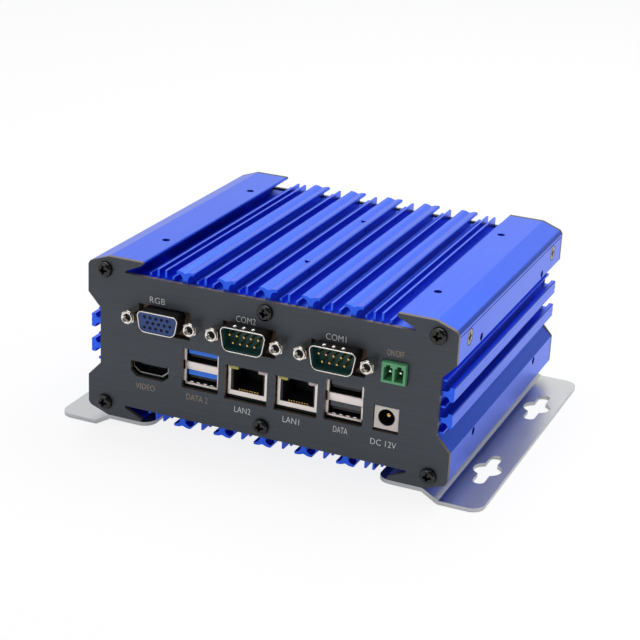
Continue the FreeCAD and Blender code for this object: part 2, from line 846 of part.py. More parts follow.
def network_shield(x):
    """Folded shield round the jack, open underneath, with a lip round the mouth."""
    z0 = main_board_top
    half = network_width / 2
    outer = block(x - half, x + half, mouth_y, mouth_y + network_depth, z0, z0 + network_height)
    inner = block(x - half + network_wall, x + half - network_wall, mouth_y + network_wall,
                  mouth_y + network_depth - network_wall, z0 - 1,
                  z0 + network_height - network_wall)
    mouth = block(x - half + network_frame, x + half - network_frame, mouth_y - 1,
                  mouth_y + network_wall + 1, z0 + network_mouth_sill, z0 + network_height - network_wall)
    corners = block(x - half + network_wall, x + half - network_wall, mouth_y - 1,
                    mouth_y + network_wall + 1, network_mouth_top() + 0.1,
                    z0 + network_height - network_wall)
    return outer.cut([inner, mouth, corners])


def network_body(x):
    """Black moulding with the stepped cavity for the plug and its latch."""
    z0 = main_board_top
    half = network_width / 2 - network_wall
    body = block(x - half, x + half, mouth_y + network_wall, mouth_y + network_depth - network_wall,
                 z0, z0 + network_height - network_wall)
    mouth_top = network_mouth_top()
    cuts = [section(rectangle(x, network_mouth_z(), network_mouth), mouth_y, network_cavity_depth)]
    cuts.append(block(x - network_notch[0] / 2, x + network_notch[0] / 2, mouth_y,
                      mouth_y + network_cavity_depth, mouth_top - 0.1, mouth_top + network_notch[1]))
    for s in (-1, 1):
        edge = x + s * (half + 0.1)
        low, high = sorted((edge, edge - s * (network_light[0] + 0.1)))
        cuts.append(block(low, high, mouth_y, mouth_y + 4.0 + network_wall,
                          mouth_top + 0.15, z0 + network_height))
    return body.cut(cuts)


def network_lights(x):
    """Light pipes in the jack's two top corners."""
    z0 = main_board_top
    half = network_width / 2 - network_wall
    mouth_top = network_mouth_top()
    lights = []
    for s in (-1, 1):
        edge = x + s * half
        low, high = sorted((edge, edge - s * network_light[0]))
        lights.append(block(low, high, mouth_y + 0.1, mouth_y + 4.0 + network_wall,
                            mouth_top + 0.15, z0 + network_height - network_wall))
    return lights


def network_contacts_row(x):
    """Spring contacts that rise from the cavity's floor towards its back."""
    floor = main_board_top + network_mouth_sill
    contacts = []
    for i in range(network_contacts):
        cx = x + (i - (network_contacts - 1) / 2) * network_contact_pitch
        front = mouth_y + 3.0
        back = mouth_y + network_cavity_depth
        points = [V(cx - 0.17, front, floor), V(cx - 0.17, front + 0.6, floor),
                  V(cx - 0.17, back, floor + 2.4), V(cx - 0.17, back, floor + 2.9),
                  V(cx - 0.17, front, floor + 0.5)]
        face = Part.Face(Part.makePolygon(points + points[:1]))
        contacts.append(face.extrude(V(0.34, 0, 0)))
    return contacts


def flat_outline(size, shift, r, inset=0.0):
    """Flat video port: two chamfered lower corners."""
    half = size[0] / 2 - inset
    x = flat_x + shift[0]
    low = main_board_top + flat_sill + flat_height / 2 + shift[1] - size[1] / 2 + inset
    high = low + size[1] - 2 * inset
    cx, cz = flat_chamfer
    return [(x - half + cx, low, r), (x + half - cx, low, r), (x + half, low + cz, r),
            (x + half, high, r), (x - half, high, r), (x - half, low + cz, r)]


def flat_port_shell():
    size = (flat_width, flat_height)
    outer = section(flat_outline(size, (0, 0), 0.5), mouth_y, flat_depth)
    feet = [block(flat_x + s * 4.5 - 0.5, flat_x + s * 4.5 + 0.5, mouth_y + 3, mouth_y + 9,
                  main_board_top, main_board_top + flat_sill + 0.2) for s in (-1, 1)]
    inner = section(flat_outline(size, (0, 0), 0.3, flat_wall), mouth_y - 0.1, flat_depth - 1)
    return joined([outer] + feet).cut(inner)


def flat_port_tongue():
    mid = main_board_top + flat_sill + flat_height / 2
    back = mouth_y + flat_depth - 1.1
    tongue = block(flat_x - flat_tongue_width / 2, flat_x + flat_tongue_width / 2,
                   mouth_y + 2.0, back, mid - 0.1, mid - 0.1 + flat_tongue_sheet)
    plug = section(flat_outline((flat_width, flat_height), (0, 0), 0.3, flat_wall + 0.02),
                   back - 2.5, 2.5)
    return joined([tongue, plug])


def power_jack_body():
    z0 = main_board_top
    body = block(power_x - power_width / 2, power_x + power_width / 2, power_front,
                 power_front + power_depth, z0 + 0.15, z0 + power_height)
    feet = block(power_x - power_width / 2, power_x + power_width / 2, power_front + 4,
                 power_front + power_depth, z0, z0 + 0.3)
    bore = rod(power_bore_r, power_bore_depth, V(power_x, power_front - 0.1, power_z()), V(0, 1, 0))
    seat = rod(power_pin_r, 2.0, V(power_x, power_front + power_bore_depth - 0.2, power_z()), V(0, 1, 0))
    return joined([body, feet]).cut([bore, seat])


def power_z():
    return main_board_top + power_height / 2 + 0.35


def power_jack_pin():
    start = power_front + 1.2
    ball = Part.makeSphere(power_pin_r, V(power_x, start + power_pin_r, power_z()))
    stem = rod(power_pin_r, power_bore_depth + 1.0 - 1.2 - power_pin_r,
               V(power_x, start + power_pin_r, power_z()), V(0, 1, 0))
    return joined([ball, stem])


def switch_terminal_body():
    """Green two-way pin header, shrouded, with a partition and keyed cells."""
    front = -switch_reach
    half_x, half_z = switch_width / 2, switch_height / 2
    shroud = block(switch_x - half_x, switch_x + half_x, front, front + switch_depth,
                   switch_z - half_z, switch_z + half_z)
    base = block(switch_x - half_x, switch_x + half_x, panel_sheet + 0.6, front + switch_depth,
                 upper_board_top, switch_z)
    cell = (switch_width - 3 * switch_wall) / 2
    cuts = []
    for s in (-1, 1):
        cx = switch_x + s * (cell + switch_wall) / 2
        cuts.append(block(cx - cell / 2, cx + cell / 2, front - 0.1, front + switch_cavity,
                          switch_z - half_z + switch_wall, switch_z + half_z - switch_wall - 0.9))
        cuts.append(block(cx - cell / 4, cx + cell / 4, front - 0.1, front + switch_cavity,
                          switch_z, switch_z + half_z - switch_wall))
        cuts.append(block(cx - switch_pin / 2, cx + switch_pin / 2, front + switch_cavity - 0.2,
                          front + switch_depth + 0.1, switch_z - switch_pin / 2,
                          switch_z + switch_pin / 2))
    return joined([shroud, base]).cut(cuts)


def switch_terminal_pins():
    front = -switch_reach
    cell = (switch_width - 3 * switch_wall) / 2
    pins = []
    for s in (-1, 1):
        cx = switch_x + s * (cell + switch_wall) / 2
        pins.append(block(cx - switch_pin / 2, cx + switch_pin / 2, front + 2.2,
                          front + switch_depth, switch_z - switch_pin / 2, switch_z + switch_pin / 2))
    return pins


# ---- boards and what they carry --------------------------------------------

def board_corners():
    return [(s * standoff_x, y) for s in (-1, 1) for y in (standoff_front, standoff_rear)]


def upper_corners():
    return [(s * upper_standoff_x, upper_standoff_front) for s in (-1, 1)]


def main_board():
    board = block(-main_board_half, main_board_half, main_board_front, main_board_rear,
                  main_board_bottom, main_board_top)
    return board.cut([prism(port_r, 4, V(x, y, main_board_bottom - 1), V(0, 0, 1))
                      for x, y in board_corners()])


def upper_board():
    front = panel_sheet + dsub_flange_sheet + 0.2
    board = block(-upper_board_half, upper_board_half, front, upper_board_rear,
                  upper_board_bottom, upper_board_top)
    holes = [(s * standoff_x, standoff_front) for s in (-1, 1)] + upper_corners()
    return board.cut([prism(port_r, 4, V(x, y, upper_board_bottom - 1), V(0, 0, 1))
                      for x, y in holes])


def standoff(x, y, low, high):
    """Hexagonal post, tapped at the top for a board screw."""
    post = sheet(hexagon(x, y, standoff_flats), low, high - low)
    return post.cut(prism(port_r, board_screw_length, V(x, y, high + 0.1), V(0, 0, -1)))


def board_standoffs():
    """Posts under the main board, and the tall ones that carry the upper board."""
    lower = [standoff(x, y, -plate_inner, main_board_bottom) for x, y in board_corners()]
    upper = [standoff(x, y, main_board_top, upper_board_bottom)
             for x, y in [(s * standoff_x, standoff_front) for s in (-1, 1)] + upper_corners()]
    return lower, upper


def board_screw():
    head = sheet(hexagon(0, 0, board_screw_flats), 0, board_screw_head)
    shank = prism(screw_r, board_screw_length, V(0, 0, -board_screw_length), V(0, 0, 1))
    return joined([head, shank])


def board_screws():
    one = board_screw()
    places = [V(s * standoff_x, standoff_rear, main_board_top) for s in (-1, 1)]
    for x, y in [(s * standoff_x, standoff_front) for s in (-1, 1)] + upper_corners():
        places.append(V(x, y, upper_board_top))
    return [turned(one, V(0, 0, 1), 0, place) for place in places]


def processor_package():
    size_x, size_y, height = processor_size
    base = centred(processor_x, size_x, processor_y, size_y, main_board_top, height * 0.6)
    die = centred(processor_x, size_x * 0.5, processor_y, size_y * 0.55, main_board_top, height)
    return joined([base, die])


def heat_block():
    low = main_board_top + processor_size[2] + heat_pad
    high = plate_inner - heat_pad
    return centred(processor_x, heat_block_size[0], processor_y, heat_block_size[1], low, high - low)


def heat_pads():
    size_x, size_y, height = processor_size
    lower = centred(processor_x, size_x, processor_y, size_y, main_board_top + height, heat_pad)
    upper = centred(processor_x, heat_block_size[0], processor_y, heat_block_size[1],
                    plate_inner - heat_pad, heat_pad)
    return [lower, upper]


def memory_parts():
    size_x, size_y, card = memory_size
    front = memory_rear - size_y
    module = centred(memory_x, size_x, front + size_y / 2, size_y, main_board_top + memory_lift, card)
    socket = block(memory_x - size_x / 2 - 1.5, memory_x + size_x / 2 + 1.5, memory_rear - socket_overlap,
                   memory_rear + 0.9, main_board_top, main_board_top + memory_lift + card + 1.0)
    latches = [block(*sorted((memory_x + s * (size_x / 2 + 0.1), memory_x + s * (size_x / 2 + 1.5))),
                     front + 4, memory_rear, main_board_top, main_board_top + memory_lift + card + 0.4)
               for s in (-1, 1)]
    socket = joined([socket] + latches).cut(module)
    return module, socket


def storage_parts():
    size_x, size_y, card = storage_size
    low = main_board_top + storage_lift
    module = block(storage_x - size_x / 2, storage_x + size_x / 2, storage_front,
                   storage_front + size_y, low, low + card)
    chips = [centred(storage_x, 14.0, storage_front + y, 13.0, low + card, 1.2) for y in (16, 34, 50)]
    module = joined([module] + chips)
    socket = block(storage_x - size_x / 2 - 0.8, storage_x + size_x / 2 + 0.8,
                   storage_front - 4.5, storage_front + socket_overlap, main_board_top, low + card + 1.0)
    post = rod(2.0, storage_lift, V(storage_x, storage_front + size_y - 2.5, main_board_top), V(0, 0, 1))
    return module, socket.cut(module), post


def cell_parts():
    """Coin cell lying in its open holder."""
    floor = 1.0
    cell = rod(cell_r, cell_sheet, V(cell_x, cell_y, main_board_top + floor), V(0, 0, 1))
    outer = rod(cell_r + holder_wall, floor + cell_sheet * 0.7, V(cell_x, cell_y, main_board_top),
                V(0, 0, 1))
    pocket = rod(cell_r + 0.05, cell_sheet, V(cell_x, cell_y, main_board_top + floor), V(0, 0, 1))
    gap = block(cell_x - 6, cell_x + 6, cell_y - cell_r - 3, cell_y, main_board_top + floor,
                main_board_top + floor + cell_sheet)
    return cell, outer.cut([pocket, gap])


def power_coils():
    coils = []
    for i in range(3):
        y = coil_front + i * (coil_size + coil_gap)
        coils.append(centred(coil_x, coil_size, y, coil_size, main_board_top, coil_height))
    return coils


def capacitors():
    step = 2 * capacitor_r + capacitor_gap
    return [rod(capacitor_r, capacitor_height,
                V(capacitor_x - i * step, capacitor_y, main_board_top), V(0, 0, 1))
            for i in range(4)]


def board_link():
    """Stacking connector between the two boards."""
    height = upper_board_bottom - main_board_top
    lower = centred(0, link_width, link_y, link_depth, main_board_top, height * 0.55)
    upper = centred(0, link_width - 3, link_y, link_depth - 1.6, main_board_top + height * 0.55,
                    height * 0.45)
    return joined([lower, upper])


# ---- build and write -------------------------------------------------------

def build():
    nodes = {"top_cover": top_cover(), "base_tray": base_tray(),
             "front_panel": front_panel(), "rear_panel": rear_panel()}
    bracket = mounting_bracket()
    nodes["mounting_bracket_right"] = bracket
    nodes["mounting_bracket_left"] = mirrored(bracket)

    panel_screw = pan_screw(panel_screw_length)
    nodes["front_panel_screws"] = [turned(panel_screw, V(1, 0, 0), 90, V(x, 0, z))
                                   for x, z in panel_screw_places()]
    nodes["rear_panel_screws"] = [turned(panel_screw, V(1, 0, 0), -90, V(x, case_depth, z))
                                  for x, z in panel_screw_places()]
    side_screw = flush_screw(side_screw_length)
    nodes["side_screws"] = [turned(side_screw, V(0, 1, 0), 90 * s, V(s * rail_half, y, side_screw_z))
                            for s in (-1, 1) for y in side_screw_y()]
    foot_screw = pan_screw(bracket_screw_length)
    nodes["bracket_screws"] = [turned(foot_screw, V(1, 0, 0), 180,
                                      V(s * rail_hole_x, y, -crown - bracket_sheet))
                               for s in (-1, 1) for y in about_middle(bracket_screw_span)]

    nodes["main_board"] = main_board()
    nodes["upper_board"] = upper_board()
    lower_posts, upper_posts = board_standoffs()
    nodes["board_standoffs"] = lower_posts
    nodes["upper_board_standoffs"] = upper_posts
    nodes["board_screws"] = board_screws()
    nodes["board_link"] = board_link()
    nodes["processor_package"] = processor_package()
    nodes["heat_block"] = heat_block()
    nodes["heat_pads"] = heat_pads()
    nodes["memory_module"], nodes["memory_socket"] = memory_parts()
    nodes["storage_module"], nodes["storage_socket"], nodes["storage_post"] = storage_parts()
    nodes["coin_cell"], nodes["coin_cell_holder"] = cell_parts()
    nodes["power_coils"] = power_coils()
    nodes["capacitors"] = capacitors()

    nodes["video_port_shell"] = d_shell(video_x, socket_width, socket_height)
    nodes["video_port_insulator"] = video_insulator(video_x)
    nodes["video_port_jackscrews"] = jackscrews(video_x)
    for name, x in (("serial_port_1", serial_1_x), ("serial_port_2", serial_2_x)):
        nodes[name + "_shell"] = d_shell(x, plug_width, plug_height)
        nodes[name + "_insulator"] = serial_insulator(x)
        nodes[name + "_pins"] = serial_pins(x)
        nodes[name + "_jackscrews"] = jackscrews(x)
    for name, x in (("stacked_port_a", stack_a_x), ("stacked_port_b", stack_b_x)):
        nodes[name + "_shell"] = stacked_shell(x)
        nodes[name + "_tongues"] = stacked_tongues(x)
    for name, x in (("network_jack_1", network_1_x), ("network_jack_2", network_2_x)):
        nodes[name + "_shield"] = network_shield(x)
        nodes[name + "_body"] = network_body(x)
        nodes[name + "_contacts"] = network_contacts_row(x)
        nodes[name + "_lights"] = network_lights(x)
    nodes["flat_video_port_shell"] = flat_port_shell()
    nodes["flat_video_port_tongue"] = flat_port_tongue()
    nodes["power_jack_body"] = power_jack_body()
    nodes["power_jack_pin"] = power_jack_pin()
    nodes["switch_terminal_body"] = switch_terminal_body()
    nodes["switch_terminal_pins"] = switch_terminal_pins()
    return nodes


front_reach = dsub_reach
rear_reach = case_depth + pan_height
to_frame = V(0, (front_reach - rear_reach) / 2, foot_level)

for node, shapes in build().items():
    solids = shapes if isinstance(shapes, list) else [shapes]
    whole = Part.makeCompound(solids) if len(solids) > 1 else solids[0]
    whole.translate(to_frame)
    whole.exportStep("parts/" + node + ".step")
    print(node, len(whole.Solids), round(whole.Volume, 1), whole.isValid())
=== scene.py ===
import json
import math

import bmesh
import bpy
from mathutils import Matrix, Vector


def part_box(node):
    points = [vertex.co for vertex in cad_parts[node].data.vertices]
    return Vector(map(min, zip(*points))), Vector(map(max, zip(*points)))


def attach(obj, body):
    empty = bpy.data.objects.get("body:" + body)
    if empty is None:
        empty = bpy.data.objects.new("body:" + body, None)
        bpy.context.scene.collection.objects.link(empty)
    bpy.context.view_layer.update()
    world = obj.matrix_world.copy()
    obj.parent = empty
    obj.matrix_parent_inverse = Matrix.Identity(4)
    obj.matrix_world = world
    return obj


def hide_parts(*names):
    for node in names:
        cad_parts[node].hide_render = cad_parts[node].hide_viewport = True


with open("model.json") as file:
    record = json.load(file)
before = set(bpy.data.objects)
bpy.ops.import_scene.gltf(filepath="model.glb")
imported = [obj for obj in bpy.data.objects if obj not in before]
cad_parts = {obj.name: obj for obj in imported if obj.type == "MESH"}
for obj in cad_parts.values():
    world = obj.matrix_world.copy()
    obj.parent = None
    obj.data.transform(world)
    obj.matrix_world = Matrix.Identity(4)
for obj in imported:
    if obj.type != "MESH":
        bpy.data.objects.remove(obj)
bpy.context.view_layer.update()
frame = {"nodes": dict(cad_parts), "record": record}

# A fanless industrial computer on joggled brackets.  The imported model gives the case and
# the places of all connectors.  Pieces are drawn in millimetres, facing +Z, and then put
# in place in metres.

mm = 0.001
scene = bpy.context.scene
nodes = frame["nodes"]


def middle(node):
    low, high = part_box(node)
    return (low + high) / 2


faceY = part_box("front_panel")[0].y          # outer face of the connector panel
caseMiddle = middle("front_panel")


# sRGB hex to linear colour
def linear(hexCode):
    values = [int(hexCode[i:i + 2], 16) / 255 for i in (1, 3, 5)]
    return [v / 12.92 if v <= 0.04045 else ((v + 0.055) / 1.055) ** 2.4 for v in values] + [1.0]


def addNode(tree, kind, inputs=None, **settings):
    node = tree.nodes.new(kind)
    for name, value in settings.items():
        setattr(node, name, value)
    for socket, value in (inputs or {}).items():
        if isinstance(value, bpy.types.NodeSocket):
            tree.links.new(value, node.inputs[socket])
        else:
            node.inputs[socket].default_value = value
    return node


def newMaterial(name, colour, **sockets):
    material = bpy.data.materials.new(name)
    material.use_nodes = True
    tree = material.node_tree
    surface = tree.nodes["Principled BSDF"]
    surface.inputs["Base Color"].default_value = linear(colour)
    for socket, value in sockets.items():
        surface.inputs[socket.replace("_", " ")].default_value = value
    return material, tree, surface


# Noise whose grains are about that many millimetres across, drawn out by stretch
def grain(tree, size, stretch=(1, 1, 1), detail=3.0):
    place = addNode(tree, "ShaderNodeTexCoord")
    scale = [1 / (size * mm * s) for s in stretch]
    mapping = addNode(tree, "ShaderNodeMapping",
                      {"Vector": place.outputs["Object"], "Scale": scale})
    noise = addNode(tree, "ShaderNodeTexNoise",
                    {"Vector": mapping.outputs["Vector"], "Scale": 1.0, "Detail": detail})
    return noise.outputs["Fac"]


noiseRange = {"low": 0.3, "high": 0.7}      # most noise values lie between these


# Noise value spread between two numbers
def spread(tree, value, low, high):
    limits = {"Value": value, "From Min": noiseRange["low"], "From Max": noiseRange["high"],
              "To Min": low, "To Max": high}
    return addNode(tree, "ShaderNodeMapRange", limits).outputs["Result"]


def twoTone(tree, value, dark, light):
    ramp = addNode(tree, "ShaderNodeMix", {"Factor": value, 6: linear(dark), 7: linear(light)},
                   data_type="RGBA")
    return ramp.outputs[2]


relief = {"distance": 0.02, "strength": 0.12}


def bumped(tree, surface, value):
    bump = addNode(tree, "ShaderNodeBump", {"Height": value, "Distance": relief["distance"] * mm,
                                            "Strength": relief["strength"]})
    tree.links.new(bump.outputs["Normal"], surface.inputs["Normal"])


materials = {}


# Finish whose only pattern is a roughness that wavers between low and high
def addFinish(name, colour, grainSize, low, high, stretch=(1, 1, 1), **sockets):
    material, tree, surface = newMaterial(name, colour, **sockets)
    tree.links.new(spread(tree, grain(tree, grainSize, stretch), low, high),
                   surface.inputs["Roughness"])
    materials[name] = material

# Extruded aluminium, blasted and anodised blue: a satin metal whose dye makes the
# reflections blue, and with faint lines along the extrusion.
material, tree, surface = newMaterial("anodisedAluminium", "#3461E6", Metallic=1.0, Roughness=0.36)
lines = grain(tree, 0.8, (1, 60, 1))
tree.links.new(twoTone(tree, spread(tree, lines, 0, 1), "#315EE3", "#3764E9"),
               surface.inputs["Base Color"])
blast = grain(tree, 0.35)
tree.links.new(spread(tree, blast, 0.27, 0.36), surface.inputs["Roughness"])
bumped(tree, surface, blast)
materials["anodisedAluminium"] = material

# Aluminium sheet, brushed along X and anodised dark grey.  Its cut edges are bare, so they
# are warm and light against the dark face.  The brush lines are drawn 0.3 mm wide, coarser
# than the real 0.1 mm, so that they show.
cutEdgeBand = {"start": 0.05, "end": 3}     # where bare edges lie behind the face
material, tree, surface = newMaterial("brushedAluminium", "#43474D", Metallic=0.55, Roughness=0.42)
brush = grain(tree, 0.3, (70, 1, 1), 4.0)
place = addNode(tree, "ShaderNodeTexCoord")
axes = addNode(tree, "ShaderNodeSeparateXYZ", {"Vector": place.outputs["Object"]})
behindFace = addNode(tree, "ShaderNodeMath",
                     {0: axes.outputs["Y"], 1: faceY + cutEdgeBand["start"] * mm},
                     operation="GREATER_THAN")
beforeRear = addNode(tree, "ShaderNodeMath",
                     {0: axes.outputs["Y"], 1: faceY + cutEdgeBand["end"] * mm},
                     operation="LESS_THAN")
cutEdge = addNode(tree, "ShaderNodeMath", {0: behindFace.outputs[0], 1: beforeRear.outputs[0]},
                  operation="MULTIPLY")
face = twoTone(tree, spread(tree, brush, 0, 1), "#3F4349", "#494D53")
edge = addNode(tree, "ShaderNodeMix", {"Factor": cutEdge.outputs[0], 6: face,
                                       7: linear("#6E6258")}, data_type="RGBA")
tree.links.new(edge.outputs[2], surface.inputs["Base Color"])
tree.links.new(spread(tree, brush, 0.36, 0.5), surface.inputs["Roughness"])
bumped(tree, surface, brush)
materials["brushedAluminium"] = material

# Rolled stainless sheet with a satin mill finish: pale, and it mirrors its surroundings
# softly along the rolling lines.
material, tree, surface = newMaterial("satinSteel", "#BCBDBF", Metallic=1.0, Roughness=0.34)
rolling = grain(tree, 0.25, (1, 40, 1))
tree.links.new(spread(tree, rolling, 0.31, 0.37), surface.inputs["Roughness"])
tree.links.new(twoTone(tree, spread(tree, rolling, 0, 1), "#BABBBD", "#C0C1C3"),
               surface.inputs["Base Color"])
materials["satinSteel"] = material

# Steel screws with black oxide: oily black, with small sharp glints.
addFinish("blackOxide", "#050506", 0.4, 0.09, 0.17, Roughness=0.12, Specular_IOR_Level=0.5)

# Steel screws with dull nickel plate: warm grey metal.
addFinish("dullNickel", "#7A7266", 0.5, 0.18, 0.3, Metallic=1.0, Roughness=0.22)

# Nickel-plated sheet and turned parts: bright, slightly warm mirror.
addFinish("nickelPlate", "#E4DED7", 1.2, 0.12, 0.22, Metallic=1.0, Roughness=0.16)

# Brownish metal of the connector flanges, darkened nearly to black: the brown is the flange's own,
# the darkness a painted reflection of the dark round it; only a soft mirror.
addFinish("brownFlangeDarkReflection", "#4A3A30", 0.9, 0.3, 0.42, Metallic=0.8, Roughness=0.36)

# Grey nickel of the flat port's shell: dull, so only its edges catch the light.
addFinish("greyNickel", "#86837F", 0.8, 0.18, 0.28, Metallic=1.0, Roughness=0.22)

# Near-black steel over the drawn shells' outer walls: painted shade round the shells, whose walls
# are bright nickel like the rim; it mirrors almost nothing.
addFinish("shellWallShade", "#1E1B1A", 0.7, 0.34, 0.46, Metallic=0.5, Roughness=0.4)

# Tinned sheet of the jacks and cages: paler and more diffuse than the nickel.
addFinish("tinnedSheet", "#E9DFDA", 1.0, 0.3, 0.4, Metallic=0.8, Roughness=0.34)

# Gold-plated contacts: warm yellow glints.
addFinish("goldPlate", "#DDB56E", 0.4, 0.16, 0.28, Metallic=1.0, Roughness=0.2)

# Solder mask over copper and glass laminate, a little glossy: its green is darkened to nearly
# black, painted shade for the board that shows in the dark gaps below the ports.
material, tree, surface = newMaterial("solderMaskShade", "#08120D", Roughness=0.45)
tree.links.new(twoTone(tree, spread(tree, grain(tree, 2.5), 0, 1), "#060D0A", "#0C1A13"),
               surface.inputs["Base Color"])
materials["solderMaskShade"] = material

# Moulded plastics: matt to satin, with the faint unevenness of a moulded skin.
mouldings = {
    "blackNylon": ("#101114", 0.5),
    "videoBlue": ("#1E3C78", 0.42),
    "tongueBlue": ("#2478F0", 0.4),
    "deepGreen": ("#184848", 0.45),
    "terminalGreen": ("#5CA271", 0.42),
    "paleNylon": ("#D6CCC4", 0.45),
    "greyNylon": ("#43464B", 0.45),
    "laminate": ("#22302A", 0.4),
    "siliconePad": ("#8E9299", 0.8),
    "ink": ("#DAD8D4", 0.55),
    "tanInk": ("#A08A76", 0.55),
    # shadowGap is no moulding: a near-black finish of painted shade, for the pieces that darken
    # bores, sockets, recesses and gaps
    "shadowGap": ("#060608", 0.8),
}
mouldedSkin = {"grain": 0.8, "smoother": 0.05, "rougher": 0.06}
for name, (colour, roughness) in mouldings.items():
    addFinish(name, colour, mouldedSkin["grain"], roughness - mouldedSkin["smoother"],
              roughness + mouldedSkin["rougher"], Roughness=roughness)

# Milled aluminium of the heat block and the capacitor cans.
addFinish("milledAluminium", "#C3C5C8", 0.6, 0.28, 0.42, (20, 1, 1), Metallic=1.0, Roughness=0.35)

# Clear moulded light pipes of the network jacks: one tinted yellow, one clear.
for name, colour in (("yellowLens", "#B8B244"), ("clearLens", "#C9B9B6")):
    addFinish(name, colour, 0.8, 0.18, 0.3, Roughness=0.22)

print("materials", len(materials))


slotFinish = {
    "blue_anodised": "anodisedAluminium", "grey_anodised": "brushedAluminium",
    "bracket_sheet": "satinSteel", "black_screws": "blackOxide", "bright_screws": "dullNickel",
    "nickel": "nickelPlate", "gold": "goldPlate", "board_green": "solderMaskShade",
    "black_plastic": "blackNylon", "blue_plastic": "videoBlue",
    "dark_green_plastic": "deepGreen", "green_plastic": "terminalGreen",
    "pale_plastic": "paleNylon", "aluminium_plain": "milledAluminium",
    "thermal_pad": "siliconePad", "lens": "clearLens", "silicon": "laminate",
}
nodeFinish = {"stacked_port_a_tongues": "tongueBlue", "stacked_port_b_tongues": "greyNylon",
              "flat_video_port_shell": "greyNickel", "flat_video_port_tongue": "greyNylon",
              "network_jack_1_shield": "tinnedSheet", "network_jack_2_shield": "tinnedSheet"}
nodeSlot = {entry["node"]: entry["material_slot"] for entry in frame["record"]["subparts"]}
for name, node in nodes.items():
    finishName = nodeFinish.get(name, slotFinish[nodeSlot[name]])
    node.data.materials.clear()
    node.data.materials.append(materials[finishName])
print("packed nodes", len(nodes))


def turnAbout(axis, degrees):
    return Matrix.Rotation(math.radians(degrees), 4, axis)


turns = {"front": turnAbout("X", 90), "rear": turnAbout("Z", 180) @ turnAbout("X", 90),
         "right": turnAbout("Y", 90), "left": turnAbout("Y", -90), "down": turnAbout("X", 180)}


# Puts a piece drawn in millimetres, facing +Z, at a place in metres
def at(facing, x, y, z):
    return Matrix.Translation((x, y, z)) @ turns[facing] @ Matrix.Scale(mm, 4)


def repeated(one, places):
    mesh = bpy.data.meshes.new("one")
    one.to_mesh(mesh)
    one.free()
    whole = bmesh.new()
    for place in places:
        before = len(whole.verts)
        whole.from_mesh(mesh)
        whole.verts.ensure_lookup_table()
        bmesh.ops.transform(whole, matrix=place, verts=whole.verts[before:])
    bpy.data.meshes.remove(mesh)
    return whole


sharpAngle = math.radians(35)


# Puts one drawn piece at each of its places and makes a single object of them
def finishPiece(name, one, places, finishName, replaced=()):
    bm = repeated(one, places)
    loose = [edge for edge in bm.edges if not edge.link_faces]
    bmesh.ops.delete(bm, geom=loose, context="EDGES")
    bmesh.ops.recalc_face_normals(bm, faces=bm.faces)
    for face in bm.faces:
        face.smooth = True
    for edge in bm.edges:
        edge.smooth = len(edge.link_faces) == 2 and edge.calc_face_angle(0) < sharpAngle
    mesh = bpy.data.meshes.new(name)
    bm.to_mesh(mesh)
    bm.free()
    mesh.materials.append(materials[finishName])
    piece = bpy.data.objects.new(name, mesh)
    scene.collection.objects.link(piece)
    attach(piece, "root")
    if replaced:
        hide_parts(*replaced)


def bevelBlock(bm, made, bevel):
    edges = list({edge for vert in made["verts"] for edge in vert.link_edges})
    bmesh.ops.bevel(bm, geom=edges, offset=bevel, segments=2, profile=0.5, affect="EDGES",
                    material=-1, clamp_overlap=True)


def addBlock(bm, low, high, bevel=0.0):
    size = Vector(high) - Vector(low)
    centre = (Vector(high) + Vector(low)) / 2
    place = Matrix.Translation(centre) @ Matrix.Diagonal((*size, 1))
    made = bmesh.ops.create_cube(bm, size=1.0, matrix=place)
    if bevel:
        bevelBlock(bm, made, bevel)


# Loop of edges round a circle
def addRing(bm, radius, level, segments, centre=(0, 0)):
    made = bmesh.ops.create_circle(bm, segments=segments, radius=radius,
                                   matrix=Matrix.Translation((*centre, level)))
    return list({edge for vert in made["verts"] for edge in vert.link_edges})


def addLoop(bm, points, level):
    verts = [bm.verts.new((x, y, level)) for x, y in points]
    return [bm.edges.new((verts[i - 1], verts[i])) for i in range(len(verts))]


# Extrudes a loop of edges along Z, towards or away from its centre
def pushLoop(bm, edges, depth, scale=1.0, centre=(0, 0)):
    made = bmesh.ops.extrude_edge_only(bm, edges=edges)["geom"]
    verts = [item for item in made if isinstance(item, bmesh.types.BMVert)]
    middlePoint = Matrix.Translation((-centre[0], -centre[1], 0))
    bmesh.ops.scale(bm, vec=(scale, scale, 1), space=middlePoint, verts=verts)
    bmesh.ops.translate(bm, vec=(0, 0, depth), verts=verts)
    return [item for item in made if isinstance(item, bmesh.types.BMEdge)
            and all(vert in verts for vert in item.verts)]


# Fills the flat region between loops of edges
def fillBetween(bm, edges):
    bmesh.ops.triangle_fill(bm, use_beauty=True, use_dissolve=False, edges=edges,
                            normal=(0, 0, 1))


# Closed cylinder, for the screw lock's neck and for the near-black discs of painted shade at the
# bottoms of bores and sockets
def addPlug(bm, radius, foot, top, centre=(0, 0)):
    ring = addRing(bm, radius, foot, 16, centre)
    bmesh.ops.contextual_create(bm, geom=ring)
    ring = pushLoop(bm, ring, top - foot)
    bmesh.ops.contextual_create(bm, geom=ring)


# Spins a profile of (radius, level) points once round Z
def turnedPiece(part):
    bm = bmesh.new()
    verts = [bm.verts.new((r, 0, z)) for r, z in part["profile"]]
    edges = [bm.edges.new(pair) for pair in zip(verts, verts[1:])]
    bmesh.ops.spin(bm, geom=verts + edges, cent=(0, 0, 0), axis=(0, 0, 1),
                   angle=math.radians(360), steps=part["steps"], use_merge=True,
                   use_duplicate=False)
    bmesh.ops.remove_doubles(bm, verts=bm.verts, dist=0.001)
    return bm


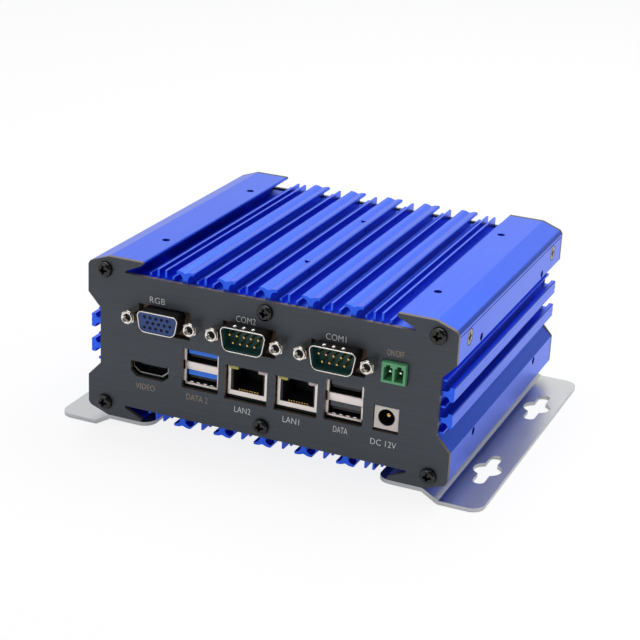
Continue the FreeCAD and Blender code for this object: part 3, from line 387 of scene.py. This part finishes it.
crossHead = {"arm": 1.7, "armHalf": 0.46, "tipShare": 0.8, "inner": 0.62, "depth": 1.35,
             "taper": 0.4, "steps": 32}
panHead = {"flat": 1.95, "profile": [(2.35, -0.16), (2.72, -0.42), (2.95, -0.8), (3.05, -1.25),
                                     (3.05, -1.9), (1.45, -1.9), (1.45, -6.0)]}
flushHead = {"flat": 2.6, "profile": [(2.85, -0.05), (2.92, -0.14), (1.45, -1.6), (1.45, -6.0)]}


# Screw with a cross recess.  Its profile runs from the flat top to the end of the shank
def crossScrew(head):
    arm, inner = crossHead["arm"], crossHead["inner"]
    tip = crossHead["armHalf"] * crossHead["tipShare"]
    bm = bmesh.new()
    outer = addRing(bm, head["flat"], 0, crossHead["steps"])
    corners = []
    for quarter in range(4):
        turn = Matrix.Rotation(math.radians(90 * quarter), 2)
        corners += [turn @ Vector(p) for p in ((arm, -tip), (arm, tip), (inner, inner))]
    recess = addLoop(bm, corners, 0)
    fillBetween(bm, outer + recess)
    floor = pushLoop(bm, recess, -crossHead["depth"], crossHead["taper"])
    bmesh.ops.contextual_create(bm, geom=floor)
    loop, lastRadius, lastLevel = outer, head["flat"], 0
    for radius, level in head["profile"]:
        loop = pushLoop(bm, loop, level - lastLevel, radius / lastRadius)
        lastRadius, lastLevel = radius, level
    bmesh.ops.contextual_create(bm, geom=loop)
    return bm


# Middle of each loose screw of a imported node, at the outermost face of its head
def screwPlaces(node, axis, outer):
    bm = bmesh.new()
    bm.from_mesh(nodes[node].data)
    bmesh.ops.remove_doubles(bm, verts=bm.verts, dist=0.01 * mm)
    places, seen = [], set()
    for start in bm.verts:
        if start in seen:
            continue
        island, queue = [], [start]
        seen.add(start)
        while queue:
            vert = queue.pop()
            island.append(vert.co.copy())
            for edge in vert.link_edges:
                other = edge.other_vert(vert)
                if other not in seen:
                    seen.add(other)
                    queue.append(other)
        low = Vector([min(p[i] for p in island) for i in range(3)])
        high = Vector([max(p[i] for p in island) for i in range(3)])
        centre = (low + high) / 2
        centre[axis] = low[axis] if outer(centre) < 0 else high[axis]
        places.append((centre, outer(centre)))
    bm.free()
    print(node, len(places), "screws")
    return places


panScrewSets = [("frontPanelScrews", "front_panel_screws", "front", 1, -1),
                ("rearPanelScrews", "rear_panel_screws", "rear", 1, 1),
                ("bracketScrews", "bracket_screws", "down", 2, -1)]
for name, node, facing, axis, outward in panScrewSets:
    places = [at(facing, *p) for p, side in screwPlaces(node, axis, lambda c: outward)]
    finishPiece(name, crossScrew(panHead), places, "blackOxide", [node])
sides = [at("right" if side > 0 else "left", *p)
         for p, side in screwPlaces("side_screws", 0, lambda c: 1 if c.x > 0 else -1)]
finishPiece("sideScrews", crossScrew(flushHead), sides, "dullNickel",
            ["side_screws"])

# Near-black cross and ring on the side screws: painted shade in their cross recesses and in the
# gaps round their heads
recessShade = {"arm": 1.6, "half": 0.4, "top": -0.04, "foot": -1.3}
screwGapShade = {"steps": 32, "profile": [(2.88, -0.2), (3.1, -0.2), (3.1, 0.015), (2.88, 0.015),
                                     (2.88, -0.2)]}
recessShadeMesh = bmesh.new()
arms = [(recessShade["arm"], recessShade["half"]), (recessShade["half"], recessShade["arm"])]
for reach, half in arms:
    addBlock(recessShadeMesh, (-reach, -half, recessShade["foot"]), (reach, half, recessShade["top"]))
finishPiece("sideScrewRecessShade", recessShadeMesh, sides, "shadowGap", ["side_screws"])
finishPiece("sideScrewGapShade", turnedPiece(screwGapShade), sides, "shadowGap",
            ["side_screws"])


dShell = {"slant": 10, "corner": 2.5, "cornerShare": 0.9, "cornerSteps": 7, "wall": 0.38,
          "round": 0.15, "rim": 5.8, "floor": -1.0, "back": -2.4, "panel": 1.6,
          "jackPitch": 24.99}
linerShade = {"sheet": 0.16, "top": 4.6, "foot": 0, "overlap": 0.01}
skirtShade = {"out": 0.03, "top": 5.15, "foot": -1.0}
flange = {"width": 30.8, "height": 12.5, "sheet": 0.8, "round": 0.2}
serial = {"width": 18.1, "height": 9.1, "pitch": 2.77, "rows": 2.84}
serialPin = {"radius": 0.43, "steps": 12, "foot": -2.0, "straight": 6.15,
             "tip": ((0.17, 0.85), (0.08, 0.6))}
serialFloor = {"top": 0.2, "depth": 1.2, "overlap": 0.02}
video = {"width": 16.9, "height": 8.0, "pitch": 2.29, "rows": 1.98, "face": 5.45, "gap": 0.03}
videoSocket = {"radius": 0.66, "steps": 14, "flare": 0.3, "throat": 0.8, "depth": 4.0,
               "plugShare": 0.79, "plugFoot": 4.2, "plugTop": 0.34}
dimple = {"spacing": 3.6, "shift": -0.4, "radius": 0.85, "height": 0.6, "out": 3.4}


# D outline with rounded corners, as one face, drawn in by inset
def dFace(size, inset, level):
    width, height = size["width"] - 2 * inset, size["height"] - 2 * inset
    lean = height * math.tan(math.radians(dShell["slant"]))
    top, bottom = width / 2, width / 2 - lean
    bm = bmesh.new()
    corners = [(-bottom, -height / 2), (bottom, -height / 2), (top, height / 2), (-top, height / 2)]
    verts = [bm.verts.new((x, y, level)) for x, y in corners]
    bm.faces.new(verts)
    offset = (dShell["corner"] - inset) * dShell["cornerShare"]
    bmesh.ops.bevel(bm, geom=verts, offset=offset, offset_type="OFFSET",
                    segments=dShell["cornerSteps"], profile=0.5, affect="VERTICES", material=-1)
    bm.faces.ensure_lookup_table()
    return bm


# Upright wall on a D outline, with its upper rim at top
def dSleeve(bm, wall, top, outerFoot, innerFoot):
    face = bm.faces[0]
    ring = bmesh.ops.inset_region(bm, faces=[face], thickness=wall, use_even_offset=True,
                                  use_boundary=True)["faces"]
    inner = [item for item in bm.faces if item not in ring][0]
    innerEdges = list(inner.edges)
    outerEdges = [edge for edge in bm.edges if edge.is_boundary]
    bmesh.ops.delete(bm, geom=[inner], context="FACES_ONLY")
    floor = pushLoop(bm, innerEdges, innerFoot - top)
    foot = pushLoop(bm, outerEdges, outerFoot - top)
    return floor, foot


# Drawn shell with a thin rounded rim and a closed floor
def shellPiece(size):
    rim = dShell["rim"]
    bm = dFace(size, 0, rim)
    for loop in dSleeve(bm, dShell["wall"], rim, dShell["back"], dShell["floor"]):
        bmesh.ops.contextual_create(bm, geom=loop)
    edges = [edge for edge in bm.edges if all(abs(v.co.z - rim) < 1e-4 for v in edge.verts)
             and edge.calc_face_angle(0) > 1]
    bmesh.ops.bevel(bm, geom=edges, offset=dShell["round"], segments=3, profile=0.5,
                    affect="EDGES", material=-1)
    return bm


# Closed band that follows the D outline
def bandPiece(size, inset, sheet, top, foot):
    bm = dFace(size, inset, top)
    inner, outer = dSleeve(bm, sheet, top, foot, foot)
    bmesh.ops.bridge_loops(bm, edges=inner + outer)
    return bm


# Dark green sheet on the shell's inner wall below its rim: painted shade inside the shell
def linerShadePiece(size):
    return bandPiece(size, dShell["wall"] - linerShade["overlap"], linerShade["sheet"],
                     linerShade["top"], linerShade["foot"])


# Near-black band over the outer wall below the bright rim: painted shade round the shell
def skirtShadePiece(size):
    return bandPiece(size, -skirtShade["out"], 2 * skirtShade["out"], skirtShade["top"],
                     skirtShade["foot"])


def flangePiece():
    halfWidth, halfHeight = flange["width"] / 2, flange["height"] / 2
    bm = bmesh.new()
    addBlock(bm, (-halfWidth, -halfHeight, -dShell["panel"] - flange["sheet"]),
             (halfWidth, halfHeight, -dShell["panel"]), flange["round"])
    return bm


def addDimples(bm, height):
    shape = Matrix.Diagonal((dimple["radius"], dimple["height"], dimple["radius"], 1))
    for i in (-1, 0, 1):
        x = i * dimple["spacing"] + dimple["shift"]
        place = Matrix.Translation((x, height / 2, dimple["out"]))
        bmesh.ops.create_uvsphere(bm, u_segments=16, v_segments=10, radius=1.0,
                                  matrix=place @ shape)


def serialPins():
    bm = bmesh.new()
    for row, count in ((0, 5), (1, 4)):
        for i in range(count):
            x = (i - (count - 1) / 2) * serial["pitch"]
            y = (0.5 - row) * serial["rows"]
            pin = addRing(bm, serialPin["radius"], serialPin["foot"], serialPin["steps"], (x, y))
            bmesh.ops.contextual_create(bm, geom=pin)
            pin = pushLoop(bm, pin, serialPin["straight"])
            for depth, scale in serialPin["tip"]:
                pin = pushLoop(bm, pin, depth, scale, (x, y))
            bmesh.ops.contextual_create(bm, geom=pin)
    return bm


# Dark moulding at the bottom of a serial shell
def serialFloorPiece():
    bm = dFace(serial, dShell["wall"] - serialFloor["overlap"], serialFloor["top"])
    back = pushLoop(bm, list(bm.faces[0].edges), -serialFloor["depth"])
    bmesh.ops.contextual_create(bm, geom=back)
    return bm


def socketPlaces():
    places = []
    for row in range(3):
        shift = video["pitch"] / 4 if row == 1 else -video["pitch"] / 4
        places += [((i - 2) * video["pitch"] + shift, (1 - row) * video["rows"]) for i in range(5)]
    return places


# Blue moulding that fills the shell, with three rows of five flared sockets
def videoFace():
    bm = dFace(video, dShell["wall"] + video["gap"], video["face"])
    face = bm.faces[0]
    outline = list(face.edges)
    bmesh.ops.delete(bm, geom=[face], context="FACES_ONLY")
    sockets = [(addRing(bm, videoSocket["radius"], video["face"], videoSocket["steps"], place),
                place) for place in socketPlaces()]
    fillBetween(bm, outline + [edge for ring, place in sockets for edge in ring])
    for ring, place in sockets:
        throat = pushLoop(bm, ring, -videoSocket["flare"], videoSocket["throat"], place)
        foot = pushLoop(bm, throat, -videoSocket["depth"], 1.0, place)
        bmesh.ops.contextual_create(bm, geom=foot)
    back = pushLoop(bm, outline, -video["face"] - dShell["panel"])
    bmesh.ops.contextual_create(bm, geom=back)
    return bm


# Near-black discs down in the video sockets: painted shade at their bottoms
def socketShade():
    bm = bmesh.new()
    radius = videoSocket["radius"] * videoSocket["plugShare"]
    foot, top = video["face"] - videoSocket["plugFoot"], video["face"] - videoSocket["plugTop"]
    for place in socketPlaces():
        addPlug(bm, radius, foot, top, place)
    return bm


jack = {"flats": 4.8, "shoulder": 4.5, "bore": 1.45, "threadDepth": 0.2, "pitch": 0.64,
        "threadEnd": 1.6, "steps": 36, "neck": {"radius": 1.4, "foot": -4.4, "top": -0.02},
        "ring": ((2.34, 4.5), (2.34, 5.15), (2.26, 5.38), (2.12, 5.5), (1.95, 5.5), (1.7, 5.34),
                 (1.45, 5.0)),
        "plug": {"gap": 0.02, "foot": 1.7, "top": 3.9}}


# Hexagonal screw lock with a turned front ring and a threaded bore
def screwLock():
    bm = bmesh.new()
    corner, rootRadius = jack["flats"] / math.sqrt(3), jack["ring"][0][0]
    angles = [math.radians(60 * i + 30) for i in range(6)]
    hexagon = addLoop(bm, [(corner * math.cos(a), corner * math.sin(a)) for a in angles],
                      jack["shoulder"])
    circle = addRing(bm, rootRadius, jack["shoulder"], jack["steps"])
    fillBetween(bm, hexagon + circle)
    foot = pushLoop(bm, hexagon, -jack["shoulder"])
    bmesh.ops.contextual_create(bm, geom=foot)
    profile = list(jack["ring"][1:])
    level = profile[-1][1]
    while level > jack["threadEnd"]:
        profile += [(jack["bore"] - jack["threadDepth"], level - jack["pitch"] / 2),
                    (jack["bore"], level - jack["pitch"])]
        level -= jack["pitch"]
    radius, level = rootRadius, jack["shoulder"]
    for nextRadius, nextLevel in profile:
        circle = pushLoop(bm, circle, nextLevel - level, nextRadius / radius)
        radius, level = nextRadius, nextLevel
    bmesh.ops.contextual_create(bm, geom=circle)
    addPlug(bm, **jack["neck"])
    return bm


# Near-black plug down the threaded bore: painted shade inside it, below the thread at its mouth
def lockBoreShade():
    bm = bmesh.new()
    plug = jack["plug"]
    addPlug(bm, jack["bore"] - jack["threadDepth"] - plug["gap"], plug["foot"], plug["top"])
    return bm


for port in ("serial_port_1", "serial_port_2", "video_port"):
    centre = middle(port + "_shell")
    size = video if port == "video_port" else serial
    shell = shellPiece(size)
    if size is serial:
        addDimples(shell, size["height"])
    spot = [at("front", centre.x, faceY, centre.z)]
    finishPiece(port + "Shell", shell, spot, "nickelPlate", [port + "_shell"])
    finishPiece(port + "Skirt", skirtShadePiece(size), spot, "shellWallShade")
    # Brownish flange, darkened as a painted reflection of the dark round it
    finishPiece(port + "Flange", flangePiece(), spot, "brownFlangeDarkReflection",
                [port + "_shell"])
    if size is serial:
        finishPiece(port + "Pins", serialPins(), spot, "goldPlate", [port + "_pins"])
        finishPiece(port + "Floor", serialFloorPiece(), spot, "deepGreen")
        finishPiece(port + "Liner", linerShadePiece(size), spot, "deepGreen")
    else:
        finishPiece(port + "Face", videoFace(), spot, "videoBlue",
                    [port + "_insulator"])
        finishPiece(port + "SocketShade", socketShade(), spot, "shadowGap")
    offset = dShell["jackPitch"] / 2 * mm
    locks = [at("front", centre.x + s * offset, faceY, centre.z) for s in (-1, 1)]
    finishPiece(port + "ScrewLocks", screwLock(), locks, "nickelPlate",
                [port + "_jackscrews"])
    finishPiece(port + "ScrewLockBoreShade", lockBoreShade(), locks, "shadowGap")
print("D-shaped connectors")


stack = {"width": 13.15, "top": 7.0, "bottom": -7.0, "mouth": 5.1, "band": 3.1, "wall": 0.35,
         "depth": 14.0, "front": -1.8, "round": 0.08}
ear = {"root": 0.1, "reach": 1.3, "halfHeight": 2.35, "sheet": 0.35, "round": 0.12}
band = {"reach": 0.25, "depth": 1.0, "proud": 0.05, "round": 0.22, "coreSetBack": 0.5}
lowerLip = {"below": 0.35, "above": 0.05, "depth": 0.5, "proud": 0.15, "round": 0.12}
finger = {"size": (1.5, 0.22, 2.2), "lean": -12, "count": 4, "pitch": 2.7, "lift": 0.15,
          "setBack": 1.2, "round": 0.1}
mouthShade = {"sheet": 0.07, "setBack": 0.7, "backSheet": 0.4}
undersideShade = {"half": 5.5, "low": 1.1, "high": 0.26, "back": 12, "front": 1.6, "round": 0.1}
blade = {"count": 4, "pitch": 2.4, "half": 0.28, "low": 1.3, "high": 1.05, "back": 6,
         "front": 2.5, "round": 0.06}
mouthMiddle = stack["band"] / 2 + stack["mouth"] / 2


# Places of a number of things in a row about zero
def inRow(count, pitch):
    return [(i - (count - 1) / 2) * pitch for i in range(count)]


# Folded cage of two mouths with a wide band between them, drawn about its middle
def stackCage():
    half, front, wall = stack["width"] / 2, stack["front"], stack["wall"]
    top, bottom, corner = stack["top"], stack["bottom"], stack["round"]
    back, bandHalf = front - stack["depth"], stack["band"] / 2
    bm = bmesh.new()
    addBlock(bm, (-half, top - wall, back), (half, top, front), corner)
    addBlock(bm, (-half, bottom, back), (half, bottom + wall, front), corner)
    for s in (-1, 1):
        low, high = sorted((s * half, s * (half - wall)))
        addBlock(bm, (low, bottom, back), (high, top, front), corner)
        low, high = sorted((s * (half - ear["root"]), s * (half + ear["reach"])))
        for y in (mouthMiddle, -mouthMiddle):
            addBlock(bm, (low, y - ear["halfHeight"], front - ear["sheet"]),
                     (high, y + ear["halfHeight"], front), ear["round"])
    wide = half + band["reach"]
    addBlock(bm, (-wide, -bandHalf, front - band["depth"]),
             (wide, bandHalf, front + band["proud"]), band["round"])
    addBlock(bm, (-half, -bandHalf, back), (half, bandHalf, front - band["coreSetBack"]))
    addBlock(bm, (-half, bottom - lowerLip["below"], front - lowerLip["depth"]),
             (half, bottom + lowerLip["above"], front + lowerLip["proud"]), lowerLip["round"])
    return bm


# Bright spring fingers that lean up from the floor of the lower mouth
def stackFingers():
    bm = bmesh.new()
    lean = turnAbout("X", finger["lean"]) @ Matrix.Diagonal((*finger["size"], 1))
    base = stack["bottom"] + stack["wall"] + finger["lift"]
    for x in inRow(finger["count"], finger["pitch"]):
        place = Matrix.Translation((x, base, stack["front"] - finger["setBack"]))
        made = bmesh.ops.create_cube(bm, size=1.0, matrix=place @ lean)
        bevelBlock(bm, made, finger["round"])
    return bm


# Black sheets on the inner walls and the back of each mouth, set back from the bright lip: painted
# shade inside the metal cage
def stackMouthShade():
    bm = bmesh.new()
    half, low = stack["width"] / 2 - stack["wall"], stack["band"] / 2
    high, sheet = stack["top"] - stack["wall"], mouthShade["sheet"]
    lip, back = stack["front"] - mouthShade["setBack"], stack["front"] - stack["depth"]
    for s in (-1, 1):
        near, far = sorted((s * low, s * high))
        addBlock(bm, (-half, near, back), (-half + sheet, far, lip))
        addBlock(bm, (half - sheet, near, back), (half, far, lip))
        addBlock(bm, (-half, near, back), (half, near + sheet, lip))
        addBlock(bm, (-half, far - sheet, back), (half, far, lip))
        addBlock(bm, (-half, near, back), (half, far, back + mouthShade["backSheet"]))
    return bm


# Black block under each tongue, painted shade on its underside, and its contact blades
def tongueContacts():
    dark, gold = bmesh.new(), bmesh.new()
    front = stack["front"]
    for y in (mouthMiddle, -mouthMiddle):
        addBlock(dark, (-undersideShade["half"], y - undersideShade["low"], front - undersideShade["back"]),
                 (undersideShade["half"], y + undersideShade["high"], front - undersideShade["front"]),
                 undersideShade["round"])
        for x in inRow(blade["count"], blade["pitch"]):
            addBlock(gold, (x - blade["half"], y - blade["low"], front - blade["back"]),
                     (x + blade["half"], y - blade["high"], front - blade["front"]),
                     blade["round"])
    return dark, gold


for port in ("stacked_port_a", "stacked_port_b"):
    centre = middle(port + "_tongues")
    spot = [at("front", centre.x, faceY, centre.z)]
    finishPiece(port + "Cage", stackCage(), spot, "tinnedSheet", [port + "_shell"])
    finishPiece(port + "Fingers", stackFingers(), spot, "nickelPlate")
    finishPiece(port + "Lining", stackMouthShade(), spot, "blackNylon")
    dark, gold = tongueContacts()
    finishPiece(port + "UndersideShade", dark, spot, "blackNylon")
    finishPiece(port + "Blades", gold, spot, "goldPlate")
print("stacked ports")


network = {"halfWidth": 7.3, "front": -1.95}
jackLight = {"width": 3.3, "low": 3.1, "high": 6.2, "depth": 4, "round": 0.2}
contactTip = {"count": 8, "pitch": 1.02, "level": -4.75, "half": 0.29, "back": 2.0, "front": 0.8,
              "round": 0.08}


def networkLight(side):
    bm = bmesh.new()
    edge = network["halfWidth"] * side
    low, high = sorted((edge, edge - side * jackLight["width"]))
    addBlock(bm, (low, jackLight["low"], network["front"] - jackLight["depth"]),
             (high, jackLight["high"], network["front"]), jackLight["round"])
    return bm


def contactTips():
    bm = bmesh.new()
    half, level, front = contactTip["half"], contactTip["level"], network["front"]
    for x in inRow(contactTip["count"], contactTip["pitch"]):
        addBlock(bm, (x - half, level - half, front - contactTip["back"]),
                 (x + half, level + half, front - contactTip["front"]), contactTip["round"])
    return bm


for port in ("network_jack_1", "network_jack_2"):
    centre = middle(port + "_shield")
    spot = [at("front", centre.x, faceY, centre.z)]
    lights = [port + "_lights"]
    finishPiece(port + "YellowLight", networkLight(-1), spot, "yellowLens", lights)
    finishPiece(port + "ClearLight", networkLight(1), spot, "clearLens", lights)
    finishPiece(port + "ContactTips", contactTips(), spot, "goldPlate",
                [port + "_contacts"])
print("network jacks")


powerLiner = {"steps": 40, "profile": [(3.13, -0.35), (3.13, -9.0), (0, -9.0), (0, -8.7),
                                       (2.95, -8.7), (2.95, -0.35), (3.13, -0.35)]}
powerPin = {"steps": 24, "profile": [(0, -9.0), (0.85, -9.0), (0.85, -2.4), (0.76, -2.1),
                                     (0.5, -1.95), (0, -1.9)]}
centre = middle("power_jack_pin")
spot = [at("front", centre.x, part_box("power_jack_body")[0].y, centre.z)]
finishPiece("powerJackLiner", turnedPiece(powerLiner), spot, "blackNylon")
finishPiece("powerJackPin", turnedPiece(powerPin), spot, "goldPlate",
            ["power_jack_pin"])

terminal = {"pitch": 3.81, "pin": 0.45, "front": 0.2, "back": -7.0, "round": 0.18}
centre = middle("switch_terminal_pins")
spot = [at("front", centre.x, faceY, centre.z)]
pins = bmesh.new()
for x in inRow(2, terminal["pitch"]):
    addBlock(pins, (x - terminal["pin"], -terminal["pin"], terminal["back"]),
             (x + terminal["pin"], terminal["pin"], terminal["front"]), terminal["round"])
finishPiece("switchTerminalPins", pins, spot, "nickelPlate", ["switch_terminal_pins"])
print("power jack and terminal")


words = [("RGB", -42.6, 18.0, 6.2, "ink"), ("COM2", -7.4, 17.5, 7.6, "ink"),
         ("COM1", 27.1, 17.85, 7.6, "ink"), ("ON/OFF", 49.2, 16.55, 6.2, "tanInk"),
         ("VIDEO", -47.2, -16.7, 8.0, "tanInk"), ("DATA 2", -25.9, -16.7, 8.6, "tanInk"),
         ("LAN2", -7.6, -17.35, 6.4, "ink"), ("LAN1", 11.5, -17.0, 6.4, "ink"),
         ("DATA", 30.5, -16.4, 5.4, "ink"), ("DC 12V", 46.8, -17.8, 9.6, "ink")]
lettering = {"capHeight": 2.3, "proud": 0.02, "thinned": -0.012, "merged": 0.002}

for i, (word, x, z, width, finishName) in enumerate(words):
    curve = bpy.data.curves.new("word", "FONT")
    curve.body = word
    curve.align_x = "CENTER"
    curve.align_y = "CENTER"
    curve.resolution_u = 3
    curve.offset = lettering["thinned"]
    curve.extrude = lettering["proud"]
    holder = bpy.data.objects.new("word", curve)
    scene.collection.objects.link(holder)
    bpy.context.view_layer.update()
    evaluated = holder.evaluated_get(bpy.context.evaluated_depsgraph_get())
    mesh = bpy.data.meshes.new_from_object(evaluated)
    bpy.data.objects.remove(holder)
    bm = bmesh.new()
    bm.from_mesh(mesh)
    bpy.data.meshes.remove(mesh)
    xs, ys = [v.co.x for v in bm.verts], [v.co.y for v in bm.verts]
    wide, tall = max(xs) - min(xs), max(ys) - min(ys)
    fit = Matrix.Diagonal((width / wide, lettering["capHeight"] / tall, 1, 1))
    centreText = Matrix.Translation((-(max(xs) + min(xs)) / 2, -(max(ys) + min(ys)) / 2, 0))
    bmesh.ops.remove_doubles(bm, verts=bm.verts, dist=lettering["merged"])
    bmesh.ops.transform(bm, matrix=fit @ centreText, verts=bm.verts)
    spot = [at("front", x * mm, faceY, caseMiddle.z + z * mm)]
    finishPiece("word" + str(i), bm, spot, finishName)
print("lettering", len(words))


studio = {"floorSize": 8.0, "floorLevel": -0.05, "floorSeen": 0.85, "floorMirrored": 0.35,
          "dim": 0.36, "lampTarget": (0, 0, 0.03)}
floorMesh = bmesh.new()
bmesh.ops.create_grid(floorMesh, x_segments=1, y_segments=1, size=studio["floorSize"],
                      matrix=Matrix.Translation((0, 0, studio["floorLevel"] * mm)))
mesh = bpy.data.meshes.new("studioFloor")
floorMesh.to_mesh(mesh)
floorMesh.free()
floor = bpy.data.objects.new("studioFloor", mesh)
scene.collection.objects.link(floor)
material, tree, surface = newMaterial("studioPaper", "#F6F6F6", Roughness=0.9)


# Share of the white backdrop that each kind of ray sees
def seenShare(tree, camera, mirrored):
    path = addNode(tree, "ShaderNodeLightPath")
    glossy = addNode(tree, "ShaderNodeMath", {0: path.outputs["Is Glossy Ray"],
                                              1: path.outputs["Is Transmission Ray"]},
                     operation="MAXIMUM")
    soft = addNode(tree, "ShaderNodeMath", {0: glossy.outputs[0], 1: mirrored},
                   operation="MULTIPLY")
    seen = addNode(tree, "ShaderNodeMath", {0: path.outputs["Is Camera Ray"], 1: camera},
                   operation="MULTIPLY")
    return addNode(tree, "ShaderNodeMath", {0: soft.outputs[0], 1: seen.outputs[0]},
                   operation="MAXIMUM").outputs[0]


# The seen floor is white; the mirrored one keeps the shadow under the case
glow = addNode(tree, "ShaderNodeEmission", {"Color": linear("#FFFFFF"), "Strength": 1.0})
share = seenShare(tree, studio["floorSeen"], studio["floorMirrored"])
mixed = addNode(tree, "ShaderNodeMixShader",
                {0: share, 1: surface.outputs[0], 2: glow.outputs[0]})
tree.links.new(mixed.outputs[0], tree.nodes["Material Output"].inputs["Surface"])
floor.data.materials.append(material)

world = bpy.data.worlds.new("studio")
scene.world = world
world.use_nodes = True
tree = world.node_tree
dim = tree.nodes["Background"]
dim.inputs["Color"].default_value = linear("#F4F6FF")
dim.inputs["Strength"].default_value = studio["dim"]
# The room is white behind and above to the left, and darker in front and to the right
towards = {"direction": (-1.0, 0.5, 0.0), "from": (-0.2, 0.4), "to": (0.15, 1.0)}
place = addNode(tree, "ShaderNodeTexCoord")
along = addNode(tree, "ShaderNodeVectorMath",
                {0: place.outputs["Generated"], 1: towards["direction"]},
                operation="DOT_PRODUCT")
room = addNode(tree, "ShaderNodeMapRange",
               {"Value": along.outputs["Value"], "From Min": towards["from"][0],
                "From Max": towards["from"][1], "To Min": towards["to"][0],
                "To Max": towards["to"][1]})
bright = addNode(tree, "ShaderNodeBackground", {"Color": linear("#FFFFFF"),
                                                "Strength": room.outputs["Result"]})
mixed = addNode(tree, "ShaderNodeMixShader", {0: seenShare(tree, 1.0, 1.0), 1: dim.outputs[0],
                                              2: bright.outputs[0]})
tree.links.new(mixed.outputs[0], tree.nodes["World Output"].inputs["Surface"])

lamps = [("topLamp", (0.1, 0.35, 1.0), 1.0, 10.5), ("rightLamp", (1.1, 0.2, 0.6), 0.8, 1.5),
         ("frontLamp", (-0.4, -1.2, 0.9), 0.8, 4.0)]
for name, place, size, watts in lamps:
    light = bpy.data.lights.new(name, "AREA")
    light.shape = "SQUARE"
    light.size = size
    light.energy = watts
    lamp = bpy.data.objects.new(name, light)
    scene.collection.objects.link(lamp)
    direction = Vector(studio["lampTarget"]) - Vector(place)
    turn = direction.to_track_quat("-Z", "Y").to_matrix().to_4x4()
    lamp.matrix_world = Matrix.Translation(place) @ turn

view = {"azimuth": 22.35, "elevation": 21.34, "roll": 2.88, "aim": (20.75, 0.0, 23.21),
        "distance": 582.6, "lens": 95.15, "sensor": 36.0}
azimuth, elevation, roll = (math.radians(view[name]) for name in ("azimuth", "elevation", "roll"))
back = Vector((math.sin(azimuth) * math.cos(elevation), -math.cos(azimuth) * math.cos(elevation),
               math.sin(elevation)))
level = Vector((math.cos(azimuth), math.sin(azimuth), 0))
upward = back.cross(level)
across = level * math.cos(roll) + upward * math.sin(roll)
upright = upward * math.cos(roll) - level * math.sin(roll)
aim = Vector((view["aim"][0] * mm, faceY + view["aim"][1] * mm, caseMiddle.z + view["aim"][2] * mm))
camera = bpy.data.objects.new("camera", bpy.data.cameras.new("camera"))
camera.data.lens = view["lens"]
camera.data.sensor_width = view["sensor"]
camera.data.clip_start = 0.01
scene.collection.objects.link(camera)
turn = Matrix((across, upright, back)).transposed().to_4x4()
camera.matrix_world = Matrix.Translation(aim + back * view["distance"] * mm) @ turn
scene.camera = camera
scene.view_settings.view_transform = "Standard"
print("studio")
